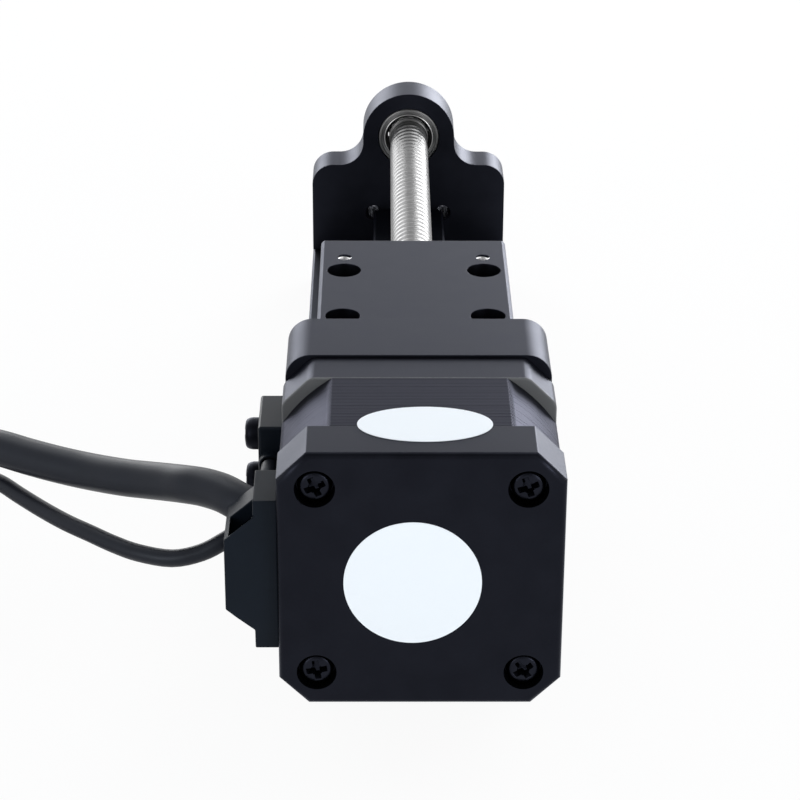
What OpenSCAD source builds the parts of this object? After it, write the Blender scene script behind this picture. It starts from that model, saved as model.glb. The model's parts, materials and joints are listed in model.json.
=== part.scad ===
// Ball screw linear module: a stepper motor on the screw itself, a profile rail and a slide table.
// X runs across the module, Y along the screw away from the motor, Z up from the mounting face.

/* [Base plate] */
// Width of the base plate
plate_w = 41.6; // [40:0.1:60]
// Length of the base plate, and so of the module without its motor
plate_l = 166; // [150:1:400]
// Thickness of the base plate
plate_t = 10; // [8:0.5:16]
// Spacing of the mounting holes across the plate
mount_dx = 30; // [28:0.5:32]
// Spacing of the mounting holes along the plate
mount_dy = 100; // [60:1:120]

/* [Rail and rail block] */
// Width of the guide rail
rail_w = 15; // [12:0.5:18]
// Height of the guide rail
rail_h = 10; // [8:0.5:12]
// Length of the guide rail
rail_l = 140; // [100:1:142]
// Distance between the rail's screws
rail_pitch = 40; // [30:1:60]
// Height of the rail block's top above the plate
block_top_h = 16; // [15:0.5:20]
// Width of the rail block
block_w = 32; // [30:0.5:33]
// Length of the rail block's steel body
block_l = 26.7; // [25:0.1:30]
// Length of each end cap
cap_l = 7.7; // [4:0.1:9]
// Gap under the rail block
block_gap = 4; // [3:0.5:5]
// Hole spacing of the rail block across the module
block_dx = 25; // [23:0.5:26]
// Hole spacing of the rail block along the module
block_dy = 20; // [16:0.5:20]

/* [Slide table] */
// Width of the slide table
table_w = 33.8; // [33:0.1:38]
// Length of the slide table
table_l = 49; // [44:0.5:56]
// Height of the slide table
table_t = 20; // [20:0.5:26]
// Gap between the table and the mount block at rest
table_gap = 12.6; // [8:0.1:60]
// Spacing of the payload holes along the table
payload_dy = 32; // [30:0.5:38]
// Depth of the table's counterbores
table_cbore_depth = 14; // [10:0.5:15]
// Depth of the payload holes
payload_depth = 6; // [3:0.5:8]

/* [Ball screw and nut] */
// Outer diameter of the screw
screw_d = 8; // [7:0.1:8]
// Travel per turn of the screw
lead = 2; // [1.5:0.5:5]
// Diameter of the nut's body
nut_d = 16; // [15:0.5:16.5]
// Length of the nut's body behind its flange
nut_l = 22; // [18:0.5:30]
// Diameter of the nut's flange
nut_flange_d = 29; // [28:0.5:30]
// Thickness of the nut's flange
nut_flange_t = 4; // [3:0.5:4.5]
// Pitch circle of the nut's screws
nut_pcd = 23; // [22.5:0.1:23.5]
// Diameter of the balls in the nut
nut_ball_d = 1.2; // [1:0.05:1.3]
// Rows of balls in the nut
nut_ball_rows = 3; // [2:1:4]

/* [Mount block and end block] */
// Thickness of the motor's mount block
mount_t = 14; // [12:0.5:18]
// Height of the mount block's top above the screw's axis
mount_top = 21.6; // [21:0.1:24]
// Depth of the counterbores for the motor's mounting screws
mount_cbore_depth = 8.5; // [7:0.5:9.5]
// Radius of the mount block's upper corners
mount_corner_r = 4; // [2:0.5:6]
// Thickness of the end block
end_t = 8.6; // [8:0.1:12]
// Radius of the dome over the end bearing
dome_r = 9.8; // [9:0.1:11]
// Drop from the screw's axis to the end block's shoulders
shoulder_drop = 6.2; // [6:0.1:8]
// Radius of the concave corners beside the dome
dome_fillet_r = 5; // [3:0.1:5]
// Radius of the shoulders' outer corners
shoulder_r = 4.5; // [2:0.1:5]
// Spacing of the two tapped holes in the end block
stop_dx = 15; // [13:0.5:17]
// Drop from the screw's axis to these holes
stop_drop = 17.3; // [16:0.1:19]
// Diameter of these holes
stop_hole_d = 3.3; // [2.5:0.1:4.2]

/* [Motor] */
// Width of the motor's square face
motor_w = 42.3; // [42:0.1:43]
// Length of the motor
motor_l = 33; // [31:0.5:48]
// Spacing of the motor's corner screws
motor_dx = 31; // [30.5:0.1:31.5]
// Length of the rear bell
rear_bell_l = 9.4; // [9:0.1:10]
// Length of the front bell
front_bell_l = 7.3; // [7:0.1:8]
// Corner chamfer of the bells
bell_chamfer = 4.4; // [3:0.1:4.6]
// Circle that the lamination stack's corners lie on
stack_corner_d = 50; // [49:0.5:56]
// Diameter of the pilot boss on the motor's face
pilot_d = 22; // [20:0.5:22]
// Height of the pilot boss
pilot_h = 2; // [1:0.1:3]
// Radius of the rotor
rotor_r = 13; // [12:0.1:13]
// Air gap between rotor and stator
air_gap = 0.2; // [0.1:0.05:0.4]
// Diameter of the screw recesses in the rear bell
recess_d = 5.9; // [5.6:0.1:6.5]
// Depth of the screw recesses
recess_depth = 3; // [2.5:0.1:3.5]
// Diameter of the round label
label_d = 20; // [10:0.5:22]
// Length of the oval label across the motor
oval_w = 20.3; // [10:0.1:24]
// Width of the oval label along the motor
oval_l = 12.4; // [6:0.1:14]
// Distance of the oval label's middle from the motor's rear face
oval_back = 9.6; // [7:0.1:14]

/* [Cable boot and home sensor] */
// Height of the boot's flange
boot_h = 24; // [20:0.5:28]
// Length of the boot along the motor
boot_l = 11; // [9:0.5:13]
// Thickness of the boot's flange
boot_flange_t = 3.55; // [2.5:0.05:5]
// How far the hood stands out from the flange
hood_t = 4.3; // [4:0.1:5]
// Height of the hood at its outer wall
hood_h = 11.7; // [10:0.1:13]
// Height of the hood where it leaves the flange
hood_root_h = 19.1; // [17:0.1:20]
// Wall of the hood
hood_wall = 0.7; // [0.5:0.1:1]
// Width of the sensor block across the module
sensor_w = 4.6; // [4:0.1:8]
// Length of the sensor block along the module
sensor_l = 12; // [8:0.5:13]
// Height of the sensor block
sensor_h = 16; // [12:0.5:20]
// Distance between the sensor block's screws
sensor_dz = 8; // [7:0.1:9]

/* [Cables] */
// Diameter of the motor cable
motor_cable_d = 6; // [6:0.1:6]
// Diameter of the sensor cable
sensor_cable_d = 2.8; // [2.8:0.1:2.8]

/* [Hidden] */
$fn = 48;

// Clearances
seat_gap = 0.02;   // a fit that stays put
run_gap = 0.25;    // a gap that moves past its neighbour
over = 0.5;        // how far a cut runs past a face
thread_gap = 0.05; // between a screw's shank and its tapped hole

// Screw sizes, as [shank diameter, head diameter, head height, key across flats]
m3 = [3, 5.5, 3, 2.5];
m4 = [4, 7, 4, 3];
m3_button = [3, 5.5, 1.65, 2];
m3_pan = [3, 5.2, 2.4, 0];

// Bearings, as [bore radius, outer radius, width, ball circle radius, ball radius, number of balls]
end_bearing = [3, 6.5, 5, 4.75, 0.9, 11];
front_bearing = [4, 8, 5, 6, 1.1, 11];
rear_bearing = [2.5, 8, 5, 5.25, 1.3, 9];

// Heights
table_z0 = plate_t + block_top_h;
table_z1 = table_z0 + table_t;
axis_z = table_z0 + table_t / 2;
edge_chamfer = 0.4;
table_chamfer = 0.6;

// Places along the module
mount_y0 = -plate_l / 2;
mount_y1 = mount_y0 + mount_t;
end_y1 = plate_l / 2;
end_y0 = end_y1 - end_t;
motor_y0 = mount_y0 - motor_l;
table_y0 = mount_y1 + table_gap;
table_y = table_y0 + table_l / 2;
rail_y0 = (mount_y1 + end_y0 - rail_l) / 2;

// Holes for the screws that come up through the plate into the two blocks
plate_cbore = m4[2] + 0.4;
block_screw_x = plate_w / 2 - 7.8;
block_screw_l = 12;
block_hole_depth = block_screw_l - (plate_t - plate_cbore) + 0.5;
block_screw_places = [for (x = [-1, 1], y = [(mount_y0 + mount_y1) / 2, (end_y0 + end_y1) / 2])
    [x * block_screw_x, y]];

// Rail screws
rail_screw_count = floor((rail_l - 16) / rail_pitch) + 1;
rail_screw_l = 10;
rail_cbore_depth = 4.5;
rail_cbore_d = 6;
function rail_screw_y(i) = rail_y0 + (rail_l - (rail_screw_count - 1) * rail_pitch) / 2 + i * rail_pitch;

// Ball track of the rail block
track_z = plate_t + 0.62 * rail_h;
track_ball_r = 1;
track_r = track_ball_r + thread_gap;
track_x = rail_w / 2 + run_gap;
track_balls = 10;

// Table
table_screw_l = 10;
nut_y = table_y0;
nut_bore_depth = nut_l + 0.5;
screw_bore_d = screw_d + 1.5;

// Nut
nut_flat = table_t / 2;
nut_screw_angle = 30;
nut_hole_depth = 7;
nut_screw_l = nut_flange_t + 6;
nut_track_r = screw_d / 2 + 0.1 + nut_ball_d / 2;

// Screw
rear_wall = 1.6;
washer_t = 0.4;
rear_bearing_y = motor_y0 + rear_wall + washer_t + 0.1;
front_bearing_y = mount_y0 - 1.3 - front_bearing[2];
journal_end_y = end_y0 + end_bearing[2] + 2.2;
clip_y = end_y0 + end_bearing[2] + 0.1;
clip_t = 0.6;

// Motor
stack_y0 = motor_y0 + rear_bell_l;
stack_l = motor_l - rear_bell_l - front_bell_l;
coil_room_r = 18.2;
bearing_boss_r = front_bearing[1] + 1.5;
slot_r = 17.6;
shoe_t = 1.4;
pole_w = 5;
pole_count = 8;
coil_side = 2.3;
coil_end = 2.4;
label_t = 0.12;
label_x = -1.25;
oval_y = motor_y0 + oval_back;

// Boot, as seen from the motor's side
boot_x = -motor_w / 2;
boot_y0 = motor_y0 + 2;
boot_far_y = boot_y0 + boot_l;
flange_x = boot_x - boot_flange_t;
hood_x = flange_x - hood_t;
boot_foot = boot_h / 2 + 0.8;
hood_far_wall = 4.5;

// Sensor block
sensor_x0 = -plate_w / 2 - sensor_w;
sensor_y1 = mount_y1;
sensor_y0 = sensor_y1 - sensor_l;
sensor_screw_y = sensor_y0 + sensor_l / 2;
sensor_screw_l = sensor_w + 5;
sensor_cable_z = 37.9;
sensor_cable_x = -23.5;
collar_d = 3.6;
collar_l = 1.2;

// Routes of the cables, from where they leave the module
motor_cable_route = [
    [-24.2, -104.2, 40.4], [-25.6, -102.3, 41], [-27.7, -100.5, 41.4], [-30.1, -98, 41.4],
    [-32.9, -95.5, 41], [-35.4, -93.5, 40.4], [-38.4, -90.5, 39.2], [-42.5, -87, 37.8],
    [-46.6, -84, 36.7], [-52.5, -79.5, 35.4], [-58, -76, 34.85], [-63.3, -72.5, 34.5],
    [-68.4, -69, 34.25], [-73.5, -65, 33.2], [-78.5, -60.5, 30.2], [-83, -55.5, 25.2],
    [-87, -50.5, 19], [-90.5, -45, 12.5], [-94, -39, 7.3], [-97.2, -32.5, 4.2],
    [-99.6, -26.5, 3.1], [-101.2, -20, 3]];
sensor_cable_route = [
    [-23.5, -82.6, 37.9], [-23.6, -85, 37.5], [-24.2, -88.5, 36], [-25.4, -91.5, 34.4],
    [-27.4, -94, 33], [-30.3, -95.6, 31.6], [-33.8, -96, 29.8], [-38.4, -95.5, 28.5],
    [-43.8, -93, 28.05], [-48, -90, 27.95], [-52, -86.5, 27.9], [-56.3, -82.5, 27.7],
    [-60.6, -78, 27.6], [-64.9, -73.5, 27.8], [-68.9, -69.3, 28.05], [-73, -65.5, 27.2],
    [-77, -62.8, 24.6], [-80.7, -61, 20.4], [-84.2, -60.2, 15.2], [-87.6, -60, 9.8],
    [-91.2, -60.7, 5], [-95.2, -62.3, 2.1], [-99, -64.6, 1.4]];

// Coils of the cable that is put away, as [middle radius, centre x, centre y, turns across, turns high]
motor_coil = [33, -134, -24.6, 1, 2];
sensor_coil = [15, -91.2, -78, 2, 2];
// Straight ends past the coils, each running towards the motor
motor_tail_l = 36;
sensor_tail_l = 18;

// Connectors, as [width, length, height]
motor_plug = [12.4, 11, 6];
sensor_plug = [7.6, 10, 5.2];

// ---------- helpers ----------

// An outline in X and Z, extruded along Y
module along_y(y0, length) {
    translate([0, y0 + length, 0]) rotate([90, 0, 0]) linear_extrude(length) children();
}

// A round bar on an axis that runs along Y
module rod_y(d, y0, length, x = 0, z = axis_z) {
    translate([x, y0, z]) rotate([-90, 0, 0]) cylinder(d = d, h = length);
}

// A turned shape about the screw's axis: the outline's height runs along Y
module turned(y0) {
    translate([0, y0, axis_z]) rotate([-90, 0, 0]) rotate_extrude() children();
}

// Rectangle with chamfered corners, centred
module chamfered_rect(w, h, c) {
    polygon([[c - w / 2, -h / 2], [w / 2 - c, -h / 2], [w / 2, c - h / 2], [w / 2, h / 2 - c],
        [w / 2 - c, h / 2], [c - w / 2, h / 2], [-w / 2, h / 2 - c], [-w / 2, c - h / 2]]);
}

// Block with all its edges chamfered, centred in X and Y and standing on Z = 0
module chamfered_block(w, l, h, c) {
    intersection() {
        linear_extrude(h) chamfered_rect(w, l, c);
        translate([0, l / 2, h / 2]) rotate([90, 0, 0]) linear_extrude(l) chamfered_rect(w, h, c);
        translate([-w / 2, 0, h / 2]) rotate([90, 0, 90]) linear_extrude(w) chamfered_rect(l, h, c);
    }
}

// The four corners of a rectangle
module at_corners(dx, dy) {
    for (x = [-1, 1], y = [-1, 1]) translate([x * dx / 2, y * dy / 2, 0]) children();
}

// The motor's four corner places, with the children's Z along +Y
module at_motor_corners(y0) {
    for (x = [-1, 1], z = [-1, 1])
        translate([x * motor_dx / 2, y0, axis_z + z * motor_dx / 2]) rotate([-90, 0, 0]) children();
}

// Socket head screw: its head's seat is at Z = 0 and its shank points down
module socket_screw(size, length) {
    difference() {
        union() {
            cylinder(d = size[1], h = size[2]);
            translate([0, 0, -length]) cylinder(d = size[0], h = length + size[2] / 2);
        }
        translate([0, 0, size[2] * 0.4]) cylinder(d = size[3] / cos(30), h = size[2], $fn = 6);
    }
}

// Cross recessed pan head screw, with the same seat
module pan_screw(size, length) {
    crown_r = size[1];
    difference() {
        union() {
            intersection() {
                cylinder(d = size[1], h = size[2]);
                translate([0, 0, size[2] - crown_r]) sphere(r = crown_r);
            }
            translate([0, 0, -length]) cylinder(d = size[0], h = length + size[2] / 2);
        }
        for (turn = [0, 90]) rotate([0, 0, turn])
            translate([-size[1] * 0.32, -size[1] * 0.085, size[2] * 0.35])
                cube([size[1] * 0.64, size[1] * 0.17, size[2]]);
    }
}

module outer_ring(b, y0) {
    turned(y0) difference() {
        translate([b[3] + b[4] * 0.6, 0]) square([b[1] - b[3] - b[4] * 0.6, b[2]]);
        translate([b[3], b[2] / 2]) circle(r = b[4] + thread_gap);
    }
}

module inner_ring(b, y0) {
    turned(y0) difference() {
        translate([b[0], 0]) square([b[3] - b[4] * 0.6 - b[0], b[2]]);
        translate([b[3], b[2] / 2]) circle(r = b[4] + thread_gap);
    }
}

module bearing_balls(b, y0) {
    for (i = [0 : b[5] - 1])
        translate([0, y0 + b[2] / 2, axis_z]) rotate([0, i * 360 / b[5], 0])
            translate([b[3], 0, 0]) sphere(r = b[4]);
}

// Round tube with flat sides that follows a route of points
function unit(v) = v / norm(v);
function along(route, i) = unit(route[min(i + 1, len(route) - 1)] - route[max(i - 1, 0)]);
function ring(centre, ahead, r, sides) =
    let (across = unit(cross(ahead, [0, 0, 1])), up = cross(across, ahead))
    [for (k = [0 : sides - 1]) centre + r * (cos(k * 360 / sides) * across + sin(k * 360 / sides) * up)];

module cable_tube(route, d, sides) {
    rings = len(route);
    points = [for (i = [0 : rings - 1]) each ring(route[i], along(route, i), d / 2, sides)];
    walls = [for (i = [0 : rings - 2], k = [0 : sides - 1])
        [i * sides + k, i * sides + (k + 1) % sides, (i + 1) * sides + (k + 1) % sides, (i + 1) * sides + k]];
    first = [for (k = [sides - 1 : -1 : 0]) k];
    last = [for (k = [0 : sides - 1]) (rings - 1) * sides + k];
    polyhedron(points, concat(walls, [first, last]));
}

// Ring that a coil of cable fills
module coil_ring(coil, d) {
    translate([coil[1], coil[2], 0]) rotate_extrude()
        translate([coil[0] - coil[3] * d / 2, 0]) square([coil[3] * d, coil[4] * d]);
}

// Where the cable leaves its coil: at the coil's left side, on top of its outer turn
function tail_start(coil, d) = [coil[1] - coil[0] - (coil[3] - 1) * d / 2, coil[2], (coil[4] - 0.5) * d];
function tail_route(coil, d, length, plug_h) =
    let (start = tail_start(coil, d), drop = start[2] - plug_h / 2)
    [for (part = [[0, 0], [0.2, 0.02], [0.4, 0.14], [0.6, 0.45], [0.8, 0.86], [1, 1]])
        start - [0, part[0] * length, part[1] * drop]];
motor_tail = tail_route(motor_coil, motor_cable_d, motor_tail_l, motor_plug[2]);
sensor_tail = tail_route(sensor_coil, sensor_cable_d, sensor_tail_l, sensor_plug[2]);

// Housing on a cable's end, with its contacts' openings and a latch
module plug(end, size, ways) {
    pitch = 2.5;
    translate([end[0], end[1] - size[1] / 2, end[2] - size[2] / 2]) difference() {
        union() {
            chamfered_block(size[0], size[1], size[2], 0.3);
            translate([-size[0] / 6, -size[1] / 2 + 0.5, size[2] - 0.2]) cube([size[0] / 3, size[1] * 0.6, 0.9]);
        }
        for (i = [0 : ways - 1])
            translate([(i - (ways - 1) / 2) * pitch - 0.7, -size[1] / 2 - over, size[2] / 2 - 0.7])
                cube([1.4, size[1] * 0.6, 1.4]);
    }
}

// ---------- base, rail and blocks ----------

module base_plate() {
    color("#26272a") difference() {
        chamfered_block(plate_w, plate_l, plate_t, edge_chamfer);
        at_corners(mount_dx, mount_dy) {
            translate([0, 0, -over]) cylinder(d = m4[0] + 0.5, h = plate_t + 2 * over);
            translate([0, 0, plate_t - plate_cbore]) cylinder(d = m4[1] + 1, h = plate_cbore + over);
        }
        for (p = block_screw_places) translate([p[0], p[1], -over]) {
            cylinder(d = m4[0] + 0.4, h = plate_t + 2 * over);
            cylinder(d = m4[1] + 1, h = plate_cbore + over);
        }
        for (i = [0 : rail_screw_count - 1])
            translate([0, rail_screw_y(i), plate_t - rail_screw_l + (rail_h - rail_cbore_depth) - 0.5])
                cylinder(d = m3[0] + 2 * thread_gap, h = rail_screw_l);
    }
}

module guide_rail() {
    color("#9a9ca0") difference() {
        along_y(rail_y0, rail_l) difference() {
            translate([0, plate_t + rail_h / 2]) chamfered_rect(rail_w, rail_h, edge_chamfer);
            for (side = [-1, 1]) translate([side * track_x, track_z]) circle(r = track_r);
        }
        for (i = [0 : rail_screw_count - 1]) translate([0, rail_screw_y(i), plate_t]) {
            translate([0, 0, -over]) cylinder(d = m3[0] + 0.5, h = rail_h + 2 * over);
            translate([0, 0, rail_h - rail_cbore_depth]) cylinder(d = rail_cbore_d, h = rail_cbore_depth + over);
        }
    }
}

module rail_screws() {
    color("#55575b") for (i = [0 : rail_screw_count - 1])
        translate([0, rail_screw_y(i), plate_t + rail_h - rail_cbore_depth]) socket_screw(m3, rail_screw_l);
}

// Outline of the rail block in X and Z, with the channel that runs on the rail
module rail_block_outline(side_gap, trim) {
    low = plate_t + block_gap + trim;
    difference() {
        translate([trim - block_w / 2, low]) square([block_w - 2 * trim, table_z0 - trim - low]);
        translate([-rail_w / 2 - side_gap, plate_t])
            square([rail_w + 2 * side_gap, rail_h + side_gap]);
    }
}

module rail_block() {
    color("#b9bbbe") difference() {
        along_y(table_y - block_l / 2, block_l) difference() {
            rail_block_outline(run_gap, 0);
            for (side = [-1, 1]) translate([side * track_x, track_z]) circle(r = track_r);
        }
        translate([0, table_y, table_z0 - table_screw_hole]) at_corners(block_dx, block_dy)
            cylinder(d = m3[0] + 2 * thread_gap, h = table_screw_hole + over);
    }
}

module rail_block_end_caps() {
    color("#1d3b2a") for (side = [-1, 1])
        along_y(table_y + side * (block_l + cap_l) / 2 - cap_l / 2, cap_l) rail_block_outline(2 * run_gap, 0.2);
}

module rail_block_balls() {
    color("#d8dadd") for (side = [-1, 1], i = [0 : track_balls - 1])
        translate([side * track_x, table_y + (i - (track_balls - 1) / 2) * 2.4, track_z]) sphere(r = track_ball_r);
}

// ---------- slide table, nut and screw ----------

// Screws from the table into the rail block
table_screw_seat = table_z1 - table_cbore_depth;
table_screw_hole = table_screw_l - (table_t - table_cbore_depth) + 0.5;

module slide_table() {
    color("#2b2c30") difference() {
        translate([0, table_y, table_z0]) chamfered_block(table_w, table_l, table_t, table_chamfer);
        rod_y(nut_d + 2 * seat_gap, table_y0 - over, nut_bore_depth + over);
        rod_y(screw_bore_d, table_y0, table_l + over);
        for (side = [-1, 1], tilt = [-1, 1]) nut_screw_place(side, tilt, table_y0 - over)
            cylinder(d = m3[0] + 2 * thread_gap, h = nut_hole_depth + over);
        translate([0, table_y, table_z0 - over]) at_corners(block_dx, block_dy) {
            cylinder(d = m3[0] + 0.4, h = table_t);
            translate([0, 0, table_t - table_cbore_depth + over]) cylinder(d = 6, h = table_t);
        }
        translate([0, table_y, table_z1 - payload_depth]) at_corners(block_dx, payload_dy)
            cylinder(d = 2.5, h = payload_depth + over);
    }
}

module table_screws() {
    color("#3a3b3f") translate([0, table_y, table_screw_seat]) at_corners(block_dx, block_dy)
        socket_screw(m3, table_screw_l);
}

// A place on the nut flange's pitch circle, with the children's Z along +Y
module nut_screw_place(side, tilt, y0) {
    translate([side * cos(nut_screw_angle) * nut_pcd / 2, y0, axis_z + tilt * sin(nut_screw_angle) * nut_pcd / 2])
        rotate([-90, 0, 0]) children();
}

module ball_nut() {
    color("#c4c6c9") difference() {
        union() {
            rod_y(nut_d, nut_y - nut_flange_t, nut_flange_t + nut_l);
            intersection() {
                rod_y(nut_flange_d, nut_y - nut_flange_t, nut_flange_t);
                translate([-nut_flange_d, nut_y - nut_flange_t, axis_z - nut_flat + edge_chamfer])
                    cube([2 * nut_flange_d, nut_flange_t, 2 * (nut_flat - edge_chamfer)]);
            }
        }
        rod_y(screw_d + 0.16, nut_y - nut_flange_t - over, nut_flange_t + nut_l + 2 * over);
        turned(nut_y) for (row = [1 : nut_ball_rows])
            translate([nut_track_r, nut_ball_y(row)]) circle(d = nut_ball_d + 2 * thread_gap);
        for (side = [-1, 1], tilt = [-1, 1]) nut_screw_place(side, tilt, nut_y - nut_flange_t - over)
            cylinder(d = m3[0] + 0.4, h = nut_flange_t + 2 * over);
    }
}

function nut_ball_y(row) = nut_l / 2 + (row - (nut_ball_rows + 1) / 2) * lead;
nut_balls_in_row = floor(2 * PI * nut_track_r / (nut_ball_d * 1.08));

module nut_balls() {
    color("#e3e4e6") for (row = [1 : nut_ball_rows], i = [0 : nut_balls_in_row - 1])
        translate([0, nut_y + nut_ball_y(row), axis_z]) rotate([0, i * 360 / nut_balls_in_row, 0])
            translate([nut_track_r, 0, 0]) sphere(d = nut_ball_d);
}

module nut_screws() {
    color("#3a3b3f") for (side = [-1, 1], tilt = [-1, 1])
        nut_screw_place(side, tilt, nut_y - nut_flange_t) rotate([180, 0, 0])
            socket_screw(m3_button, nut_screw_l);
}

module ball_screw() {
    rear_r = rear_bearing[0];
    bore_r = front_bearing[0];
    shank_y = rear_bearing_y + rear_bearing[2];
    far_r = end_bearing[0];
    groove_r = far_r - 0.4;
    color("#d5d7da") turned(0) polygon([
        [0, rear_bearing_y - 0.1], [rear_r - 0.2, rear_bearing_y - 0.1], [rear_r, rear_bearing_y + 0.1],
        [rear_r, shank_y], [bore_r, shank_y], [bore_r, mount_y0 + pilot_h], [screw_d / 2 - 0.6, mount_y0 + pilot_h],
        [screw_d / 2 - 0.6, mount_y0 + pilot_h + 1.5], [screw_d / 2, mount_y0 + pilot_h + 2.1],
        [screw_d / 2, end_y0 - 0.7], [screw_d / 2 - 0.5, end_y0 - 0.1], [far_r, end_y0 - 0.1],
        [far_r, clip_y], [groove_r, clip_y], [groove_r, clip_y + clip_t], [far_r, clip_y + clip_t],
        [far_r, journal_end_y - 0.4], [far_r - 0.4, journal_end_y], [0, journal_end_y]]);
}

// ---------- mount block and end block ----------

// Upright outline with rounded upper corners, from the plate up
module block_outline(w, top, r) {
    difference() {
        translate([-w / 2, plate_t]) square([w, top - plate_t]);
        for (side = [-1, 1]) translate([side * w / 2, top]) difference() {
            square(2 * r, center = true);
            translate([-side * r, -r]) circle(r = r);
        }
    }
}

module mount_block() {
    seat = mount_screw_seat;
    color("#2b2c30") difference() {
        along_y(mount_y0, mount_t) block_outline(plate_w, axis_z + mount_top, mount_corner_r);
        rod_y(pilot_d + 2 * seat_gap, mount_y0 - over, pilot_h + 0.3 + over);
        rod_y(screw_d + 4, mount_y0, mount_t + over);
        at_motor_corners(mount_y0 - over) cylinder(d = m3[0] + 0.4, h = mount_t + 2 * over);
        at_motor_corners(mount_y0 + seat) cylinder(d = m3[1] + 0.7, h = mount_t);
        for (p = block_screw_places) translate([p[0], p[1], plate_t - over])
            cylinder(d = m4[0] + 2 * thread_gap, h = block_hole_depth + over);
        for (side = [-1, 1]) translate([-plate_w / 2 - over, sensor_screw_y, axis_z + side * sensor_dz / 2])
            rotate([0, 90, 0]) cylinder(d = m3[0] + 2 * thread_gap, h = 6 + over);
    }
}

// Where the heads of the motor's mounting screws sit, from the motor's face
mount_screw_seat = mount_t - mount_cbore_depth;
mount_screw_l = mount_screw_seat + 4.5;

module end_block_outline() {
    shoulder = axis_z - shoulder_drop;
    union() {
        block_outline(plate_w, shoulder, shoulder_r);
        translate([0, axis_z]) circle(r = dome_r);
        translate([-dome_r, shoulder - over]) square([2 * dome_r, shoulder_drop + over]);
        for (side = [-1, 1]) difference() {
            translate([side * (dome_r + dome_fillet_r / 2), shoulder + (dome_fillet_r - over) / 2])
                square([dome_fillet_r, dome_fillet_r + over], center = true);
            translate([side * (dome_r + dome_fillet_r), shoulder + dome_fillet_r]) circle(r = dome_fillet_r);
        }
    }
}

module end_block() {
    color("#2b2c30") difference() {
        along_y(end_y0, end_t) end_block_outline();
        rod_y(2 * end_bearing[1] + 2 * seat_gap, end_y0 - over, end_bearing[2] + over);
        rod_y(2 * end_bearing[1] - 3, end_y0, end_t + over);
        for (side = [-1, 1])
            rod_y(stop_hole_d, end_y0 - over, end_t + 2 * over, side * stop_dx / 2, axis_z - stop_drop);
        for (p = block_screw_places) translate([p[0], p[1], plate_t - over])
            cylinder(d = m4[0] + 2 * thread_gap, h = block_hole_depth + over);
    }
}

module block_screws() {
    color("#3a3b3f") for (p = block_screw_places)
        translate([p[0], p[1], plate_cbore]) rotate([180, 0, 0]) socket_screw(m4, block_screw_l);
}

module end_bearing_outer_ring() {
    color("#8f9195") outer_ring(end_bearing, end_y0);
}

module end_bearing_inner_ring() {
    color("#a9abae") inner_ring(end_bearing, end_y0);
}

module end_bearing_balls() {
    color("#d8dadd") bearing_balls(end_bearing, end_y0);
}

module end_bearing_shields() {
    inner_r = end_bearing[3] - end_bearing[4] * 0.6 + 0.1;
    outer_r = end_bearing[3] + end_bearing[4] * 0.6;
    shield_t = 0.25;
    color("#b4b6b9") for (y = [0.1, end_bearing[2] - shield_t - 0.1]) turned(end_y0 + y)
        translate([inner_r, 0]) square([outer_r - inner_r, shield_t]);
}

module retaining_ring() {
    color("#6d6f73") difference() {
        turned(clip_y + thread_gap) translate([end_bearing[0] - 0.35, 0]) square([1.6, clip_t - 2 * thread_gap]);
        translate([-0.9, clip_y - over, axis_z - 2 * end_bearing[0]]) cube([1.8, 2, 2 * end_bearing[0]]);
    }
}

// ---------- motor ----------

module bell_outline(c) {
    translate([0, axis_z]) chamfered_rect(motor_w, motor_w, c);
}

// Room inside a bell for the ends of the coils, round the boss that holds the bearing
module coil_room(y0, length) {
    turned(y0) translate([bearing_boss_r, 0]) square([coil_room_r - bearing_boss_r, length]);
}

module motor_front_bell() {
    y0 = mount_y0 - front_bell_l;
    color("#232427") difference() {
        union() {
            along_y(y0, front_bell_l) bell_outline(bell_chamfer);
            rod_y(pilot_d, mount_y0 - over, pilot_h + over);
        }
        rod_y(2 * front_bearing[1] + 2 * seat_gap, y0 - over, front_bearing_y + front_bearing[2] - y0 + over);
        rod_y(screw_d + 1.6, y0, front_bell_l + pilot_h + over);
        coil_room(y0 - over, coil_end + 1.6 + over);
        at_motor_corners(y0 - over) cylinder(d = m3[0] + 2 * thread_gap, h = front_bell_l + 2 * over);
    }
}

module motor_rear_bell() {
    pocket = rear_bell_l - rear_wall;
    color("#232427") difference() {
        along_y(motor_y0, rear_bell_l) bell_outline(bell_chamfer);
        rod_y(2 * rear_bearing[1] + 2 * seat_gap, motor_y0 + rear_wall, pocket + over);
        coil_room(motor_y0 + 3.4, rear_bell_l);
        at_motor_corners(motor_y0 - over) {
            cylinder(d = m3[0] + 0.3, h = rear_bell_l + 2 * over);
            cylinder(d = recess_d, h = recess_depth + over);
        }
    }
}

module stator_core() {
    bore_r = rotor_r + air_gap;
    color("#2e2f33") difference() {
        along_y(stack_y0, stack_l) difference() {
            translate([0, axis_z]) intersection() {
                square(motor_w, center = true);
                circle(d = stack_corner_d);
            }
            translate([0, axis_z]) {
                circle(r = bore_r);
                difference() {
                    circle(r = slot_r);
                    circle(r = bore_r + shoe_t);
                    for (i = [0 : pole_count - 1]) rotate(i * 360 / pole_count)
                        translate([0, -pole_w / 2]) square([slot_r + 1, pole_w]);
                }
                for (i = [0 : pole_count - 1]) rotate((i + 0.5) * 360 / pole_count)
                    translate([bore_r - 0.5, -1]) square([shoe_t + 1, 2]);
            }
        }
        at_motor_corners(stack_y0 - over) cylinder(d = m3[0] + 0.3, h = stack_l + 2 * over);
    }
}

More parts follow.
